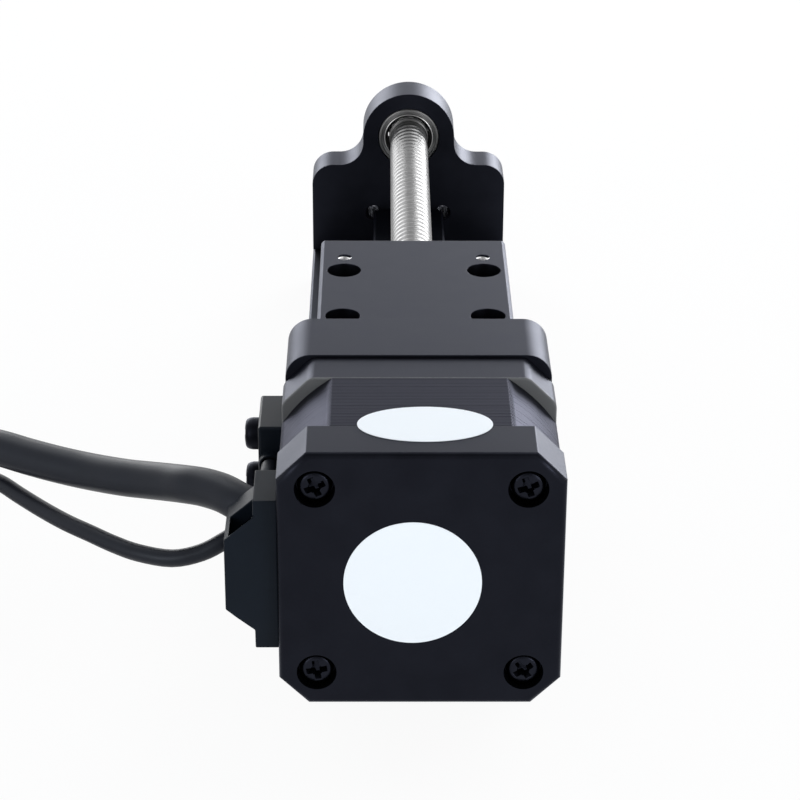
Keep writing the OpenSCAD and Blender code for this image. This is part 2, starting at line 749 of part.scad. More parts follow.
module stator_coils() {
    inner_r = rotor_r + air_gap + shoe_t + 0.1;
    half_w = pole_w / 2 + 0.15 + coil_side;
    outer_r = sqrt(pow(slot_r - 0.1, 2) - half_w * half_w);
    long = stack_l + 2 * coil_end;
    color("#b06a2c") for (i = [0 : pole_count - 1])
        translate([0, stack_y0, axis_z]) rotate([0, i * 360 / pole_count, 0]) difference() {
            translate([inner_r, -coil_end, -half_w]) cube([outer_r - inner_r, long, 2 * half_w]);
            translate([inner_r - over, -0.15, coil_side - half_w])
                cube([outer_r, stack_l + 0.3, 2 * (half_w - coil_side)]);
        }
}

magnet_l = 3;
cup_l = (stack_l - magnet_l) / 2;

module rotor_cups() {
    color("#77797d") for (y = [stack_y0, stack_y0 + cup_l + magnet_l]) turned(y)
        translate([front_bearing[0], 0]) square([rotor_r - front_bearing[0], cup_l]);
}

module rotor_magnet() {
    color("#54565a") turned(stack_y0 + cup_l)
        translate([front_bearing[0], 0]) square([rotor_r - 1 - front_bearing[0], magnet_l]);
}

module motor_bearing_outer_rings() {
    color("#a9abae") {
        outer_ring(rear_bearing, rear_bearing_y);
        outer_ring(front_bearing, front_bearing_y);
    }
}

module motor_bearing_inner_rings() {
    color("#a9abae") {
        inner_ring(rear_bearing, rear_bearing_y);
        inner_ring(front_bearing, front_bearing_y);
    }
}

module motor_bearing_balls() {
    color("#d8dadd") {
        bearing_balls(rear_bearing, rear_bearing_y);
        bearing_balls(front_bearing, front_bearing_y);
    }
}

module wave_washer() {
    color("#8f9195") turned(motor_y0 + rear_wall)
        translate([rear_bearing[1] - 1.6, 0]) square([1.5, washer_t]);
}

module motor_through_screws() {
    color("#222326") at_motor_corners(motor_y0 + recess_depth) rotate([180, 0, 0])
        pan_screw(m3_pan, motor_l - recess_depth - mount_screw_grip - 0.5);
}

// How far the mounting screws reach into the front bell
mount_screw_grip = mount_screw_l - mount_screw_seat;

module motor_mounting_screws() {
    color("#3a3b3f") at_motor_corners(mount_y0 + mount_screw_seat) socket_screw(m3, mount_screw_l);
}

module round_label() {
    color("#f2f6fb") rod_y(label_d, motor_y0 - label_t, label_t, label_x);
}

module oval_label() {
    sides = 64;
    color("#f2f6fb") translate([0, oval_y, axis_z + motor_w / 2]) linear_extrude(label_t)
        polygon([for (i = [0 : sides - 1])
            [oval_w / 2 * cos(i * 360 / sides), oval_l / 2 * sin(i * 360 / sides)]]);
}

// ---------- cable boot, sensor and cables ----------

// Outline of the boot in X and Z: a flange on the motor's side with a hood whose ends slope
module boot_outline() {
    translate([0, axis_z]) polygon([[boot_x, -boot_foot], [flange_x, -boot_foot],
        [flange_x, -hood_root_h / 2], [hood_x, -hood_h / 2], [hood_x, hood_h / 2],
        [flange_x, hood_root_h / 2], [flange_x, boot_h / 2], [boot_x, boot_h / 2]]);
}

// Outline of the boot in Y and Z: its near face falls back towards both ends
module boot_side() {
    translate([0, axis_z]) polygon([[boot_y0 + 0.6, -boot_foot], [boot_y0, -0.3 * boot_h],
        [boot_y0, 0.175 * boot_h], [boot_y0 + 1, boot_h / 2], [boot_far_y, boot_h / 2], [boot_far_y, -boot_foot]]);
}

module cable_boot() {
    cavity_y0 = boot_y0 + hood_wall;
    cavity_y1 = boot_far_y - hood_far_wall;
    start = motor_cable_route[0];
    heading = unit(motor_cable_route[1] - start);
    color("#28292c") difference() {
        intersection() {
            along_y(boot_y0, boot_l) boot_outline();
            translate([hood_x, 0, 0]) rotate([90, 0, 90]) linear_extrude(boot_x - hood_x) boot_side();
        }
        translate([hood_x + hood_wall, cavity_y0, axis_z - hood_h / 2 + 1])
            cube([hood_t - hood_wall, cavity_y1 - cavity_y0, boot_h]);
        translate(start) rotate([0, acos(heading[2]), atan2(heading[1], heading[0])])
            cylinder(d = motor_cable_d + 0.3, h = 6);
    }
}

module motor_cable() {
    color("#303134") cable_tube(motor_cable_route, motor_cable_d, 10);
}

module motor_cable_coil() {
    color("#303134") coil_ring(motor_coil, motor_cable_d);
}

module motor_cable_tail() {
    color("#303134") cable_tube(motor_tail, motor_cable_d, 10);
}

module motor_connector() {
    color("#1f2022") plug(motor_tail[len(motor_tail) - 1], motor_plug, 4);
}

module home_sensor() {
    color("#28292c") difference() {
        union() {
            translate([sensor_x0 + sensor_w / 2, sensor_screw_y, axis_z - sensor_h / 2])
                chamfered_block(sensor_w, sensor_l, sensor_h, 0.3);
            rod_y(collar_d, sensor_y0 - collar_l, collar_l + 1, sensor_cable_x, sensor_cable_z);
        }
        rod_y(sensor_cable_d + 0.1, sensor_y0 - collar_l - over, collar_l + over + 1, sensor_cable_x, sensor_cable_z);
        for (side = [-1, 1]) translate([sensor_x0 - over, sensor_screw_y, axis_z + side * sensor_dz / 2])
            rotate([0, 90, 0]) cylinder(d = m3[0] + 0.3, h = sensor_w + 2 * over);
    }
}

module sensor_screws() {
    color("#222326") for (side = [-1, 1])
        translate([sensor_x0, sensor_screw_y, axis_z + side * sensor_dz / 2]) rotate([0, -90, 0])
            pan_screw(m3_pan, sensor_screw_l);
}

module sensor_cable() {
    color("#303134") cable_tube(sensor_cable_route, sensor_cable_d, 8);
}

module sensor_cable_coil() {
    color("#303134") coil_ring(sensor_coil, sensor_cable_d);
}

module sensor_cable_tail() {
    color("#303134") cable_tube(sensor_tail, sensor_cable_d, 8);
}

module sensor_connector() {
    color("#1f2022") plug(sensor_tail[len(sensor_tail) - 1], sensor_plug, 3);
}

base_plate();
guide_rail();
rail_screws();
rail_block();
rail_block_end_caps();
rail_block_balls();
slide_table();
table_screws();
ball_nut();
nut_screws();
nut_balls();
ball_screw();
mount_block();
end_block();
block_screws();
end_bearing_outer_ring();
end_bearing_inner_ring();
end_bearing_balls();
end_bearing_shields();
retaining_ring();
motor_front_bell();
stator_core();
stator_coils();
rotor_cups();
rotor_magnet();
motor_bearing_outer_rings();
motor_bearing_inner_rings();
motor_bearing_balls();
wave_washer();
motor_rear_bell();
motor_through_screws();
motor_mounting_screws();
round_label();
oval_label();
cable_boot();
motor_cable();
motor_cable_coil();
motor_cable_tail();
motor_connector();
home_sensor();
sensor_screws();
sensor_cable();
sensor_cable_coil();
sensor_cable_tail();
sensor_connector();
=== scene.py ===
"""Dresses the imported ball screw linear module.

A stepper motor turns a ball screw, which moves a slide table along a rail.
"""

import json
import math
import random

import bmesh
import bpy
from mathutils import Matrix, Vector


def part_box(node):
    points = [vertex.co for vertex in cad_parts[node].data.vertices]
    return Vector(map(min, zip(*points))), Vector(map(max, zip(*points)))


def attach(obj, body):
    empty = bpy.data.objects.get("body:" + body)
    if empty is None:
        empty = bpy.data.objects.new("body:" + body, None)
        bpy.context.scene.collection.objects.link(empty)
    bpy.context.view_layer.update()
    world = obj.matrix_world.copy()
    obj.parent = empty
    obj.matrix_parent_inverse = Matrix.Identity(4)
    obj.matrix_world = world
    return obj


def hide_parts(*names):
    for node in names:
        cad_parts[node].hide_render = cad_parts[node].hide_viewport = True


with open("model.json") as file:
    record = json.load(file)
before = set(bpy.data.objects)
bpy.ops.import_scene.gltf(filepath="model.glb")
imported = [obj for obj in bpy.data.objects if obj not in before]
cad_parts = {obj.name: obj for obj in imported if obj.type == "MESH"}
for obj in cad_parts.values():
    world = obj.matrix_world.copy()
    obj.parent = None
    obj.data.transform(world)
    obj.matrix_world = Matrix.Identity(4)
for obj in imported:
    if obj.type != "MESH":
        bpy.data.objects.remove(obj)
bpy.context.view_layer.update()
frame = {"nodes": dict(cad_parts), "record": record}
NODES = frame["nodes"]

MM = 0.001
# Sizes and places in mm: X across, Y along the screw, Z up from the plate's underside.
AXIS_Z = 36.0               # height of the screw's axis
LEAD = 2.0                  # travel of the table per turn
MOTOR_REAR = -116.0         # rear face of the motor
FRONT_BELL_BACK = -90.3     # where the front bell meets the lamination stack
MOTOR_FRONT = -83.0         # where the motor meets the mount block
FACE_HALF = 21.15           # half the width of the motor's square face
BELL_CHAMFER = 4.4
STACK_TOP = 57.15           # top of the lamination stack
MOTOR_HOLES = (31, 31)      # spacing of the screws at the motor's corners
TABLE_Y, TABLE_TOP = -31.9, 46    # the table's middle at rest, and its top face
TABLE_HOLES = (25, 20)      # spacing of the screws into the rail block
PAYLOAD_HOLES = (25, 32)    # spacing of the tapped holes in the table's top
NUT_HOLES = (19.918, 11.5)  # spacing of the screws through the nut's flange
BEARING_Y, BEARING_WIDTH = 74.4, 5.0
random.seed(7)


# ---------- camera ----------

CAMERA_PLACE = (-0.005829, -0.438395, 0.222651)    # metres
CAMERA_TURN = (-0.4706, -25.9274, 0.2432)          # yaw, pitch and roll in degrees
CAMERA_LENS = 113.592                              # mm, on a sensor 36 mm wide


def add_camera():
    yaw, pitch, roll = (math.radians(angle) for angle in CAMERA_TURN)
    forward = Vector((0, math.cos(pitch), math.sin(pitch)))
    up = Vector((0, -math.sin(pitch), math.cos(pitch)))
    right = Vector((1, 0, 0))
    right, up = (math.cos(roll) * right + math.sin(roll) * up,
                 math.cos(roll) * up - math.sin(roll) * right)
    turn = Matrix.Rotation(yaw, 3, "Z")
    axes = Matrix([turn @ right, turn @ up, -(turn @ forward)]).transposed()
    lens = bpy.data.cameras.new("camera")
    lens.sensor_width = 36
    lens.lens = CAMERA_LENS
    lens.clip_start = 0.01
    camera = bpy.data.objects.new("camera", lens)
    camera.matrix_world = Matrix.Translation(CAMERA_PLACE) @ axes.to_4x4()
    bpy.context.scene.collection.objects.link(camera)
    bpy.context.scene.camera = camera


add_camera()


# ---------- modelling helpers ----------

def deselect():
    if bpy.context.object and bpy.context.object.mode != "OBJECT":
        bpy.ops.object.mode_set(mode="OBJECT")
    bpy.ops.object.select_all(action="DESELECT")


def take(piece):
    """Makes this piece the only one selected."""
    deselect()
    piece.select_set(True)
    bpy.context.view_layer.objects.active = piece
    return piece


def modify(piece, kind, **settings):
    """Adds a modifier with these settings and applies it."""
    take(piece)
    bpy.ops.object.modifier_add(type=kind)
    modifier = piece.modifiers[-1]
    for name, value in settings.items():
        setattr(modifier, name, value)
    bpy.ops.object.modifier_apply(modifier=modifier.name)
    return piece


def settle(piece):
    """Puts the piece's place into its mesh, with its object at the origin."""
    take(piece)
    bpy.ops.object.transform_apply(location=True, rotation=True, scale=True)
    return piece


def added(name):
    """Names the primitive that was just added."""
    piece = bpy.context.object
    piece.name = name
    piece.data.name = name
    return piece


def in_edit(piece, *steps):
    """Runs operators on the whole mesh in edit mode, each given as (operator, settings)."""
    take(piece)
    bpy.ops.object.mode_set(mode="EDIT")
    for operator, settings in steps:
        bpy.ops.mesh.select_all(action="SELECT")
        operator(**settings)
    bpy.ops.object.mode_set(mode="OBJECT")
    return piece


def smooth(piece, angle=35):
    take(piece)
    bpy.ops.object.shade_smooth_by_angle(angle=math.radians(angle))
    return piece


def outwards(piece):
    return in_edit(piece, (bpy.ops.mesh.remove_doubles, {"threshold": 1e-6}),
                   (bpy.ops.mesh.normals_make_consistent, {"inside": False}))


def soften(piece, width, segments=2, where=None, angle=30):
    """Rounds the sharp edges, or those whose middle the test picks, by this width in mm."""
    mesh = piece.data
    shape = bmesh.new()
    shape.from_mesh(mesh)
    layers = shape.edges.layers.float
    weight = layers.get("bevel_weight_edge") or layers.new("bevel_weight_edge")
    for edge in shape.edges:
        sharp = len(edge.link_faces) == 2 and edge.calc_face_angle(0) > math.radians(angle)
        middle = (edge.verts[0].co + edge.verts[1].co) / 2 / MM
        edge[weight] = 1.0 if sharp and (where is None or where(middle)) else 0.0
    shape.to_mesh(mesh)
    shape.free()
    modify(piece, "BEVEL", width=width * MM, segments=segments, limit_method="WEIGHT",
           use_clamp_overlap=False, miter_outer="MITER_ARC" if segments > 2 else "MITER_SHARP")
    return piece


def crisp(piece, angle=40):
    """Smooth shading that leaves the broad faces flat."""
    smooth(piece, angle)
    return modify(piece, "WEIGHTED_NORMAL", keep_sharp=True, weight=50)


def copy_of(node, name):
    """A copy of a solid from the frame, its triangles merged into whole faces."""
    piece = bpy.data.objects.new(name, NODES[node].data.copy())
    piece.data.name = name
    bpy.context.scene.collection.objects.link(piece)
    take(piece)
    bpy.ops.mesh.customdata_custom_splitnormals_clear()
    for edge in piece.data.edges:
        edge.use_edge_sharp = False
    in_edit(piece, (bpy.ops.mesh.remove_doubles, {"threshold": 2e-6}),
            (bpy.ops.mesh.dissolve_limited, {"angle_limit": math.radians(0.5)}))
    return piece


def joined(name, pieces):
    """One piece made of several."""
    take(pieces[0])
    for piece in pieces:
        piece.select_set(True)
    if len(pieces) > 1:
        bpy.ops.object.join()
    return added(name)


def placed(piece, matrix, name="copy"):
    """A copy of a piece with its own mesh, moved by this matrix."""
    other = bpy.data.objects.new(name, piece.data.copy())
    bpy.context.scene.collection.objects.link(other)
    other.data.transform(matrix)
    return other


def removed(*pieces):
    for piece in pieces:
        bpy.data.objects.remove(piece)


def along(direction, place):
    """Turns local Z to a direction and moves to a place in mm."""
    turn = Vector((0, 0, 1)).rotation_difference(Vector(direction)).to_matrix().to_4x4()
    return Matrix.Translation(Vector(place) * MM) @ turn


def turned(name, outline, steps=64, closed=False, height=0.0, turns=1):
    """Spins an outline of (radius, height) points, in mm, about local Z.

    A height per turn makes a helix.
    """
    mesh = bpy.data.meshes.new(name)
    count = len(outline)
    edges = [(i, i + 1) for i in range(count - 1)] + ([(count - 1, 0)] if closed else [])
    mesh.from_pydata([(r * MM, 0, z * MM) for r, z in outline], edges, [])
    piece = bpy.data.objects.new(name, mesh)
    bpy.context.scene.collection.objects.link(piece)
    modify(piece, "SCREW", angle=2 * math.pi, screw_offset=height * MM, iterations=turns,
           steps=steps, render_steps=steps, use_merge_vertices=height == 0, merge_threshold=1e-7,
           use_smooth_shade=True)
    return outwards(piece)


def on_axis(piece, y=0.0):
    """Lays a piece that was turned about Z on the screw's axis, its foot at y."""
    piece.data.transform(along((0, 1, 0), (0, y, AXIS_Z)))
    return piece


def rounded(outline, radius, steps=4):
    """Rounds an open outline's inner corners by a small radius."""
    points = [outline[0]]
    for before, corner, after in zip(outline, outline[1:], outline[2:]):
        b, c, a = Vector(before), Vector(corner), Vector(after)
        reach = min(radius, (b - c).length / 2.2, (a - c).length / 2.2)
        start, end = c + (b - c).normalized() * reach, c + (a - c).normalized() * reach
        for i in range(steps + 1):
            t = i / steps
            points.append(tuple(start.lerp(c, t).lerp(c.lerp(end, t), t)))
    return points + [outline[-1]]


def finished(piece, body, slot, finish, *nodes):
    """Gives a piece its material, its body and the nodes that it stands for."""
    settle(piece)
    piece.data.materials.clear()
    piece.data.materials.append(finish)
    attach(piece, body)
    if nodes:
        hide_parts(*nodes)
    return piece


# ---------- material helpers ----------

class Wire:
    """A socket of a material. Arithmetic on it adds Math nodes."""

    def __init__(self, finish, socket):
        self.finish, self.socket = finish, socket

    def _math(self, operation, first, second):
        return self.finish.node("Math", {"operation": operation}, {0: first, 1: second})

    def __add__(self, other):
        return self._math("ADD", self, other)

    def __sub__(self, other):
        return self._math("SUBTRACT", self, other)

    def __rsub__(self, other):
        return self._math("SUBTRACT", other, self)

    def __mul__(self, other):
        return self._math("MULTIPLY", self, other)

    def __pow__(self, other):
        return self._math("POWER", self, other)

    __radd__, __rmul__ = __add__, __mul__


class Finish:
    """One procedural material, built node by node."""

    def __init__(self, name):
        self.material = bpy.data.materials.new(name)
        self.material.use_nodes = True
        self.tree = self.material.node_tree
        self.tree.nodes.clear()
        self.place = self.node("TexCoord", output="Object")

    def node(self, kind, settings=None, sockets=None, output=0):
        made = self.tree.nodes.new("ShaderNode" + kind)
        for name, value in (settings or {}).items():
            setattr(made, name, value)
        for name, value in (sockets or {}).items():
            socket = made.inputs[name]
            if isinstance(value, Wire):
                self.tree.links.new(value.socket, socket)
            else:
                socket.default_value = value
        return Wire(self, made.outputs[output])

    def stretched(self, x, y, z):
        """The place in mm, divided by a grain size for each direction."""
        scale = (1 / (x * MM), 1 / (y * MM), 1 / (z * MM))
        return self.node("Mapping", {"vector_type": "POINT"},
                         {"Vector": self.place, "Scale": scale})

    def grain(self, x, y=None, z=None, detail=2.0, rough=0.5):
        """Noise from 0 to 1 with this grain size in mm."""
        return self.node("TexNoise", {}, {"Vector": self.stretched(x, y or x, z or x), "Scale": 1.0,
                                          "Detail": detail, "Roughness": rough})

    def spread(self, value, low, high):
        """The middle of a noise, opened out to run from 0 to 1."""
        return self.node("MapRange", {"clamp": True},
                         {"Value": value, "From Min": low, "From Max": high})

    def tint(self, share, first, second):
        ends = [end if isinstance(end, Wire) else (*end, 1) for end in (first, second)]
        return self.node("Mix", {"data_type": "RGBA"}, {0: share, 6: ends[0], 7: ends[1]}, 2)

    def bump(self, height, depth, strength=1.0, over=None):
        sockets = {"Height": height, "Distance": depth * MM, "Strength": strength}
        if over:
            sockets["Normal"] = over
        return self.node("Bump", {}, sockets)

    def done(self, **sockets):
        names = {name.replace("_", " "): value for name, value in sockets.items()}
        surface = self.node("BsdfPrincipled", {}, names)
        out = self.tree.nodes.new("ShaderNodeOutputMaterial")
        self.tree.links.new(surface.socket, out.inputs["Surface"])
        return self.material


def shade(level, blue=0.0):
    return (level, level * (1 + blue / 6), level * (1 + blue))


COOL_METAL = (0.93, 0.945, 1.0, 1)
COOL_PLASTIC = (0.82, 0.90, 1.0, 1)
# Grey painted in as painted light: the highlight on the front bell's rear edge and the light on the
# face behind it
PAINTED_LIGHT_GREY = (0.105, 0.108, 0.110)


def dark_metal(name, low, high, rough, grain, depth, painted_light_behind=None):
    """Black anodised, painted or oxidised metal: a fine grain, and patches more or less shiny.

    Behind a place along Y, in mm, a lighter, less metallic grey is painted in as painted light: a
    painted highlight along a rounded edge and painted light on the face behind it, with a speckled
    border.
    """
    f = Finish(name)
    patches = f.spread(f.grain(6.0), 0.3, 0.7)
    fine = f.grain(grain, detail=3.0)
    colour = f.tint(patches * 0.5 + fine * 0.5, shade(low, 0.55), shade(high, 0.55))
    metallic = 1.0
    roughness = rough + patches * 0.04 + fine * 0.05
    if painted_light_behind is not None:
        # Painted light: lighter grey behind a place along Y, for a painted highlight on the rounded
        # edge and painted light on the face behind it
        y = f.node("SeparateXYZ", {}, {0: f.place}, 1)
        speckled_edge = f.grain(0.35, detail=1.0) * 0.12 * MM
        painted_light = f.spread(y + speckled_edge, (painted_light_behind + 0.08) * MM, (painted_light_behind - 0.02) * MM)
        colour = f.tint(painted_light, colour, PAINTED_LIGHT_GREY)
        metallic = 1.0 - painted_light
        roughness = roughness + painted_light * 0.15
    return f.done(Base_Color=colour, Metallic=metallic, Specular_Tint=COOL_METAL,
                  Roughness=roughness, Normal=f.bump(fine, depth))


def steel(name, low, high, rough, grain, depth=0.002):
    """Ground steel with fine marks that run along one direction."""
    f = Finish(name)
    marks = f.grain(*grain, detail=3.0)
    patches = f.spread(f.grain(5.0), 0.3, 0.7)
    colour = f.tint(marks * 0.6 + patches * 0.4, shade(low, 0.01), shade(high, 0.01))
    return f.done(Base_Color=colour, Metallic=1.0, Roughness=rough + marks * 0.12 + patches * 0.05,
                  Normal=f.bump(marks, depth))


def moulded(name, colour_low, colour_high, rough, grain, depth, specular=0.4):
    """Moulded plastic with a fine spark-eroded grain."""
    f = Finish(name)
    fine = f.grain(grain, detail=2.0)
    cloud = f.grain(4.0)
    return f.done(Base_Color=f.tint(cloud, colour_low, colour_high),
                  Roughness=rough + fine * 0.08, Specular_IOR_Level=specular,
                  Specular_Tint=COOL_PLASTIC, Normal=f.bump(fine, depth))


ANODISED = dark_metal("black anodised aluminium", 0.0140, 0.0190, 0.38, 0.12, 0.003)
ENAMEL = dark_metal("black enamel on the bells", 0.0100, 0.0140, 0.34, 0.5, 0.002)
# The front bell's enamel is a lighter copy of the rear bell's, as painted light, with a painted
# highlight on its rear edge and painted light on the face behind it
PAINTED_LIGHT_ENAMEL = dark_metal("black enamel, painted light behind its rear edge", 0.0140, 0.0185,
                             0.34, 0.5, 0.002, painted_light_behind=-90.02)
OXIDE = dark_metal("black oxide on screws", 0.010, 0.017, 0.26, 0.08, 0.002)
PHOSPHATE = dark_metal("phosphate coat on small screws", 0.005, 0.009, 0.40, 0.10, 0.003)
SCREW_STEEL = steel("rolled and polished screw steel", 0.17, 0.23, 0.24, (3.0, 0.05, 3.0), 0.0006)
# The rail is given a very dark steel colour all along its length
RAIL_STEEL = dark_metal("very dark rail steel", 0.009, 0.013, 0.30, 0.10, 0.001)
BLOCK_STEEL = steel("ground block steel", 0.46, 0.52, 0.26, (0.05, 6.0, 0.05), 0.0005)
BEARING_STEEL = steel("turned bearing steel", 0.30, 0.36, 0.22, (0.6, 0.6, 0.6), 0.0004)
NUT_STEEL = steel("turned nut steel", 0.45, 0.52, 0.22, (0.4, 0.05, 0.4), 0.0006)
BALL_STEEL = steel("polished balls", 0.70, 0.78, 0.05, (0.8, 0.8, 0.8), 0.0005)
SPRING_STEEL = steel("spring steel", 0.26, 0.34, 0.26, (0.3, 0.3, 0.3))
MAGNET = steel("sintered magnet", 0.20, 0.28, 0.50, (0.2, 0.2, 0.2), 0.01)
BARE_ALUMINIUM = steel("freshly tapped aluminium", 0.80, 0.88, 0.24, (0.3, 0.3, 0.1))
TIN = steel("tinned contacts", 0.60, 0.70, 0.22, (0.2, 1.0, 0.2))
BLACK_PLASTIC = (0.004, 0.006, 0.010), (0.006, 0.009, 0.014)
BOOT_NYLON = moulded("black nylon of the boot", *BLACK_PLASTIC, 0.36, 0.10, 0.003, 0.10)
SENSOR_PLASTIC = moulded("black plastic of the sensor", *BLACK_PLASTIC, 0.34, 0.10, 0.003, 0.16)
PLUG_NYLON = moulded("black nylon of the plugs", shade(0.012), shade(0.020), 0.34, 0.12, 0.004)
CAP_PLASTIC = moulded("end cap plastic", (0.012, 0.045, 0.028), (0.018, 0.060, 0.038),
                      0.36, 0.12, 0.004)
TIE_NYLON = moulded("black nylon of the ties", shade(0.016), shade(0.024), 0.30, 0.15, 0.003)


def copper_wire():
    f = Finish("enamelled copper wire")
    strands = f.node("TexWave", {"bands_direction": "X"},
                     {"Vector": f.stretched(1, 1, 1), "Scale": 0.9, "Distortion": 0.4})
    return f.done(Base_Color=f.tint(strands, (0.32, 0.10, 0.035), (0.62, 0.26, 0.10)),
                  Metallic=1.0, Roughness=0.22 + strands * 0.1, Normal=f.bump(strands, 0.05))


def lamination_steel():
    """Black coated sheets: each sheet's edge is a little lighter or darker than the next."""
    f = Finish("black coated laminations")
    sheets = f.spread(f.grain(60.0, 0.5, 60.0, detail=1.0), 0.3, 0.7)
    streaks = f.grain(2.5, 0.12, 2.5, detail=3.0)
    colour = f.tint(sheets * 0.6 + streaks * 0.4, shade(0.011, 0.3), shade(0.021, 0.3))
    return f.done(Base_Color=colour, Metallic=1.0, Specular_Tint=(0.80, 0.81, 0.90, 1),
                  Roughness=0.38 + streaks * 0.12, Normal=f.bump(streaks, 0.004))


def label_vinyl():
    f = Finish("blank white vinyl")
    fine = f.grain(0.25)
    return f.done(Base_Color=f.tint(fine, (0.83, 0.88, 0.92), (0.85, 0.90, 0.94)),
                  Roughness=0.42 + fine * 0.06, Specular_IOR_Level=0.4,
                  Normal=f.bump(f.grain(1.5), 0.003))


def cable_sheath():
    """Soft sheath of a cable: satin, with the faint drawn marks of its extrusion."""
    f = Finish("soft cable sheath")
    fine = f.grain(0.15)
    drawn = f.grain(3.0, detail=3.0)
    height = fine * 0.3 + drawn * 0.7
    return f.done(Base_Color=f.tint(drawn, shade(0.006, 0.7), shade(0.010, 0.7)),
                  Specular_Tint=COOL_PLASTIC, Roughness=0.36 + fine * 0.10,
                  Specular_IOR_Level=0.22, Normal=f.bump(height, 0.02))


COPPER = copper_wire()
LAMINATION = lamination_steel()
VINYL = label_vinyl()
SHEATH = cable_sheath()

SLOT_FINISH = {
    "anodised": ANODISED, "rail_steel": RAIL_STEEL, "block_steel": BLOCK_STEEL,
    "cap_plastic": CAP_PLASTIC, "black_screw": OXIDE, "nut_steel": NUT_STEEL,
    "ball_steel": BALL_STEEL, "screw_steel": SCREW_STEEL, "bearing_steel": BEARING_STEEL,
    "spring_steel": SPRING_STEEL, "bell_paint": ENAMEL, "lamination": LAMINATION,
    "magnet": MAGNET, "copper": COPPER, "label": VINYL, "boot_plastic": BOOT_NYLON,
    "sensor_plastic": SENSOR_PLASTIC, "cable_jacket": SHEATH, "plug_plastic": PLUG_NYLON,
}
for part in frame["record"]["subparts"]:
    for holder in NODES[part["node"]].material_slots:
        holder.material = SLOT_FINISH[part["material_slot"]]


# ---------- cables ----------

MOTOR_CABLE_D, SENSOR_CABLE_D = 6.0, 2.8
MOTOR_ROUTE = [
    (-24.2, -104.2, 40.4), (-25.6, -102.3, 41), (-27.7, -100.5, 41.4), (-30.1, -98, 41.4),
    (-32.9, -95.5, 41), (-35.4, -93.5, 40.4), (-38.4, -90.5, 39.2), (-42.5, -87, 37.8),
    (-46.6, -84, 36.7), (-52.5, -79.5, 35.4), (-58, -76, 34.85), (-63.3, -72.5, 34.5),
    (-68.4, -69, 34.25), (-73.5, -65, 33.2), (-78.5, -60.5, 30.2), (-83, -55.5, 25.2),
    (-87, -50.5, 19), (-90.5, -45, 12.5), (-94, -39, 7.3), (-97.2, -32.5, 4.2),
    (-99.6, -26.5, 3.1), (-101.2, -20, 3)]
SENSOR_ROUTE = [
    (-23.5, -82.6, 37.9), (-23.6, -85, 37.5), (-24.2, -88.5, 36), (-25.4, -91.5, 34.4),
    (-27.4, -94, 33), (-30.3, -95.6, 31.6), (-33.8, -96, 29.8), (-38.4, -95.5, 28.5),
    (-43.8, -93, 28.05), (-48, -90, 27.95), (-52, -86.5, 27.9), (-56.3, -82.5, 27.7),
    (-60.6, -78, 27.6), (-64.9, -73.5, 27.8), (-68.9, -69.3, 28.05), (-73, -65.5, 27.2),
    (-77, -62.8, 24.6), (-80.7, -61, 20.4), (-84.2, -60.2, 15.2), (-87.6, -60, 9.8),
    (-91.2, -60.7, 5), (-95.2, -62.3, 2.1), (-99, -64.6, 1.4)]
MOTOR_COIL_CENTRE, SENSOR_COIL_CENTRE = (-134, -24.6), (-91.2, -78)
MOTOR_COIL_R, SENSOR_COIL_R = 33.0, 15
MOTOR_TAIL, SENSOR_TAIL = 36, 18
MOTOR_PLUG, SENSOR_PLUG = (12.4, 11, 6), (7.6, 10, 5.2)
CONTACT_PITCH = 2.5
# Shares of a tail's length, and of its fall to the plug's height
TAIL_FALL = [(0.2, 0.02), (0.4, 0.14), (0.6, 0.45), (0.8, 0.86), (1, 1)]


def coil_points(centre, stages):
    """Points of a coil that moves smoothly between stages of (angle, radius, height)."""
    points = []
    for (a0, r0, z0), (a1, r1, z1) in zip(stages, stages[1:]):
        steps = max(2, round((a1 - a0) / 10))
        for i in range(1, steps + 1):
            t = i / steps
            ease = t * t * (3 - 2 * t)
            angle = math.radians(a0 + (a1 - a0) * t)
            radius = r0 + (r1 - r0) * ease
            points.append((centre[0] + radius * math.cos(angle),
                           centre[1] + radius * math.sin(angle), z0 + (z1 - z0) * ease))
    return points


def tail_points(start, length, end_z):
    drop = start[2] - end_z
    return [(start[0], start[1] - a * length, start[2] - b * drop) for a, b in TAIL_FALL]


def smooth_route(points, steps=4):
    """A Catmull-Rom curve through the points."""
    pts = [Vector(p) for p in points]
    pts = [pts[0] * 2 - pts[1]] + pts + [pts[-1] * 2 - pts[-2]]
    curve = []
    for a, b, c, d in zip(pts, pts[1:], pts[2:], pts[3:]):
        for i in range(steps):
            t = i / steps
            curve.append(0.5 * (2 * b + (c - a) * t + (2 * a - 5 * b + 4 * c - d) * t * t
                                + (3 * b - a - 3 * c + d) * t ** 3))
    return curve + [pts[-2]]


def add_cable(name, points, diameter, *nodes):
    data = bpy.data.curves.new(name, "CURVE")
    data.dimensions = "3D"
    data.bevel_depth = diameter / 2 * MM
    data.bevel_resolution = 8
    data.use_fill_caps = True
    spline = data.splines.new("POLY")
    spline.points.add(len(points) - 1)
    for point, place in zip(spline.points, points):
        point.co = (*(place * MM), 1)
    spline.use_smooth = True
    cable = bpy.data.objects.new(name, data)
    bpy.context.scene.collection.objects.link(cable)
    data.materials.append(SHEATH)
    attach(cable, "base")
    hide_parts(*nodes)
    return cable


def block(name, middle, size, round_off=0.0, segments=2):
    """A box in mm, its edges rounded."""
    bpy.ops.mesh.primitive_cube_add(size=1, location=[c * MM for c in middle],
                                    scale=[c * MM for c in size])
    piece = settle(added(name))
    return soften(piece, round_off, segments) if round_off else piece


